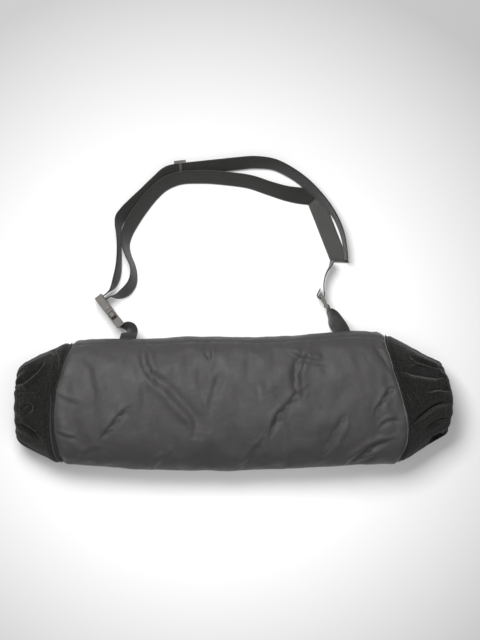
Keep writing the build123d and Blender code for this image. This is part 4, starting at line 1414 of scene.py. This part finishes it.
def floor_material() -> bpy.types.Material:
    """Make the white floor: its middle glows as painted light, and its colour falls to grey further out as
    painted shade.
    """
    recipe = Recipe("pale_floor", Slot.NYLON, (0.8, 0.8, 0.8), 0.9)
    tree = recipe.tree
    distance = tree.nodes.new("ShaderNodeVectorMath")
    distance.operation = "DISTANCE"
    recipe.wire(recipe.place.outputs["Object"], distance, 0)
    distance.inputs[1].default_value = FLOOR_BRIGHT_PLACE
    spread = recipe.ramp(distance.outputs["Value"], FLOOR_BRIGHT_RADIUS, FLOOR_GREY_RADIUS)
    # Painted shade: the floor's colour darkens to grey further out.
    recipe.paint(recipe.blend(spread, (0.84, 0.84, 0.84), (0.375, 0.375, 0.375)))
    # Painted light: the middle of the floor glows.
    recipe.wire(recipe.blend(spread, (0.12, 0.12, 0.12), (0.02, 0.02, 0.02)), recipe.shader, "Emission Color")
    recipe.set(recipe.shader, {"Specular IOR Level": 0.1, "Emission Strength": 1.0})
    return recipe.material


def build_stage() -> None:
    """Set up the pale floor, the soft lamps, the sky and the camera straight above."""
    mesh = bpy.data.meshes.new("floor")
    half = FLOOR_HALF_SIZE
    corners = [(x, y, -FLOOR_DROP) for x, y in ((-half, -half), (half, -half), (half, half), (-half, half))]
    mesh.from_pydata(corners, [], [(0, 1, 2, 3)])
    floor = bpy.data.objects.new("floor", mesh)
    bpy.context.scene.collection.objects.link(floor)
    mesh.materials.append(floor_material())
    middle = (0.0, 0.10, 0.0)
    key = add_lamp("key_lamp", (-0.45, 0.95, 1.85), middle, 1.0, 50.0)
    fill = add_lamp("fill_lamp", (0.5, -0.35, 2.0), middle, 1.3, 10.0)
    world = bpy.data.worlds.new("sky")
    world.use_nodes = True
    sky = world.node_tree.nodes["Background"]
    sky.inputs["Color"].default_value = (1, 1, 1, 1)
    sky.inputs["Strength"].default_value = 0.26
    scene = bpy.context.scene
    scene.world = world
    scene.view_settings.view_transform = "Standard"
    data = bpy.data.cameras.new("camera")
    camera = bpy.data.objects.new("camera", data)
    scene.collection.objects.link(camera)
    camera.location = (0.0076, 0.1018, 5.0)
    camera.rotation_euler = (0, 0, 0)
    data.lens = 240
    data.sensor_width = 36
    data.clip_end = 20
    scene.camera = camera


MOULDED_NODES = (
    "buckle_socket", "buckle_plug", "latch_arm_lower", "latch_arm_upper", "tri_glide", "end_ring",
)


def dress_hardware(frame: dict) -> None:
    """Give the moulded CAD parts their acetal finish; they keep their own meshes."""
    finish = MouldedFinish().recipe()
    for name in MOULDED_NODES:
        finish.dress(frame["nodes"][name])
        LOG.info("dressed %s", name)


LEFT_GATHERS = 15
RIGHT_GATHERS = 13


def main() -> None:
    """Build the whole scene round the CAD frame."""
    logging.basicConfig(level=logging.INFO, format="%(message)s")
    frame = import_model()
    muff = Muff()
    muff.build()
    Cuff(LEFT_CUFF, LEFT_CUFF_CREASES, LEFT_GATHERS).build()
    Cuff(RIGHT_CUFF, RIGHT_CUFF_CREASES, RIGHT_GATHERS).build()
    Belt(WebbingFinish().recipe()).build()
    build_bartacks(muff.shell)
    dress_hardware(frame)
    build_stage()


if __name__ == "__main__":
    main()
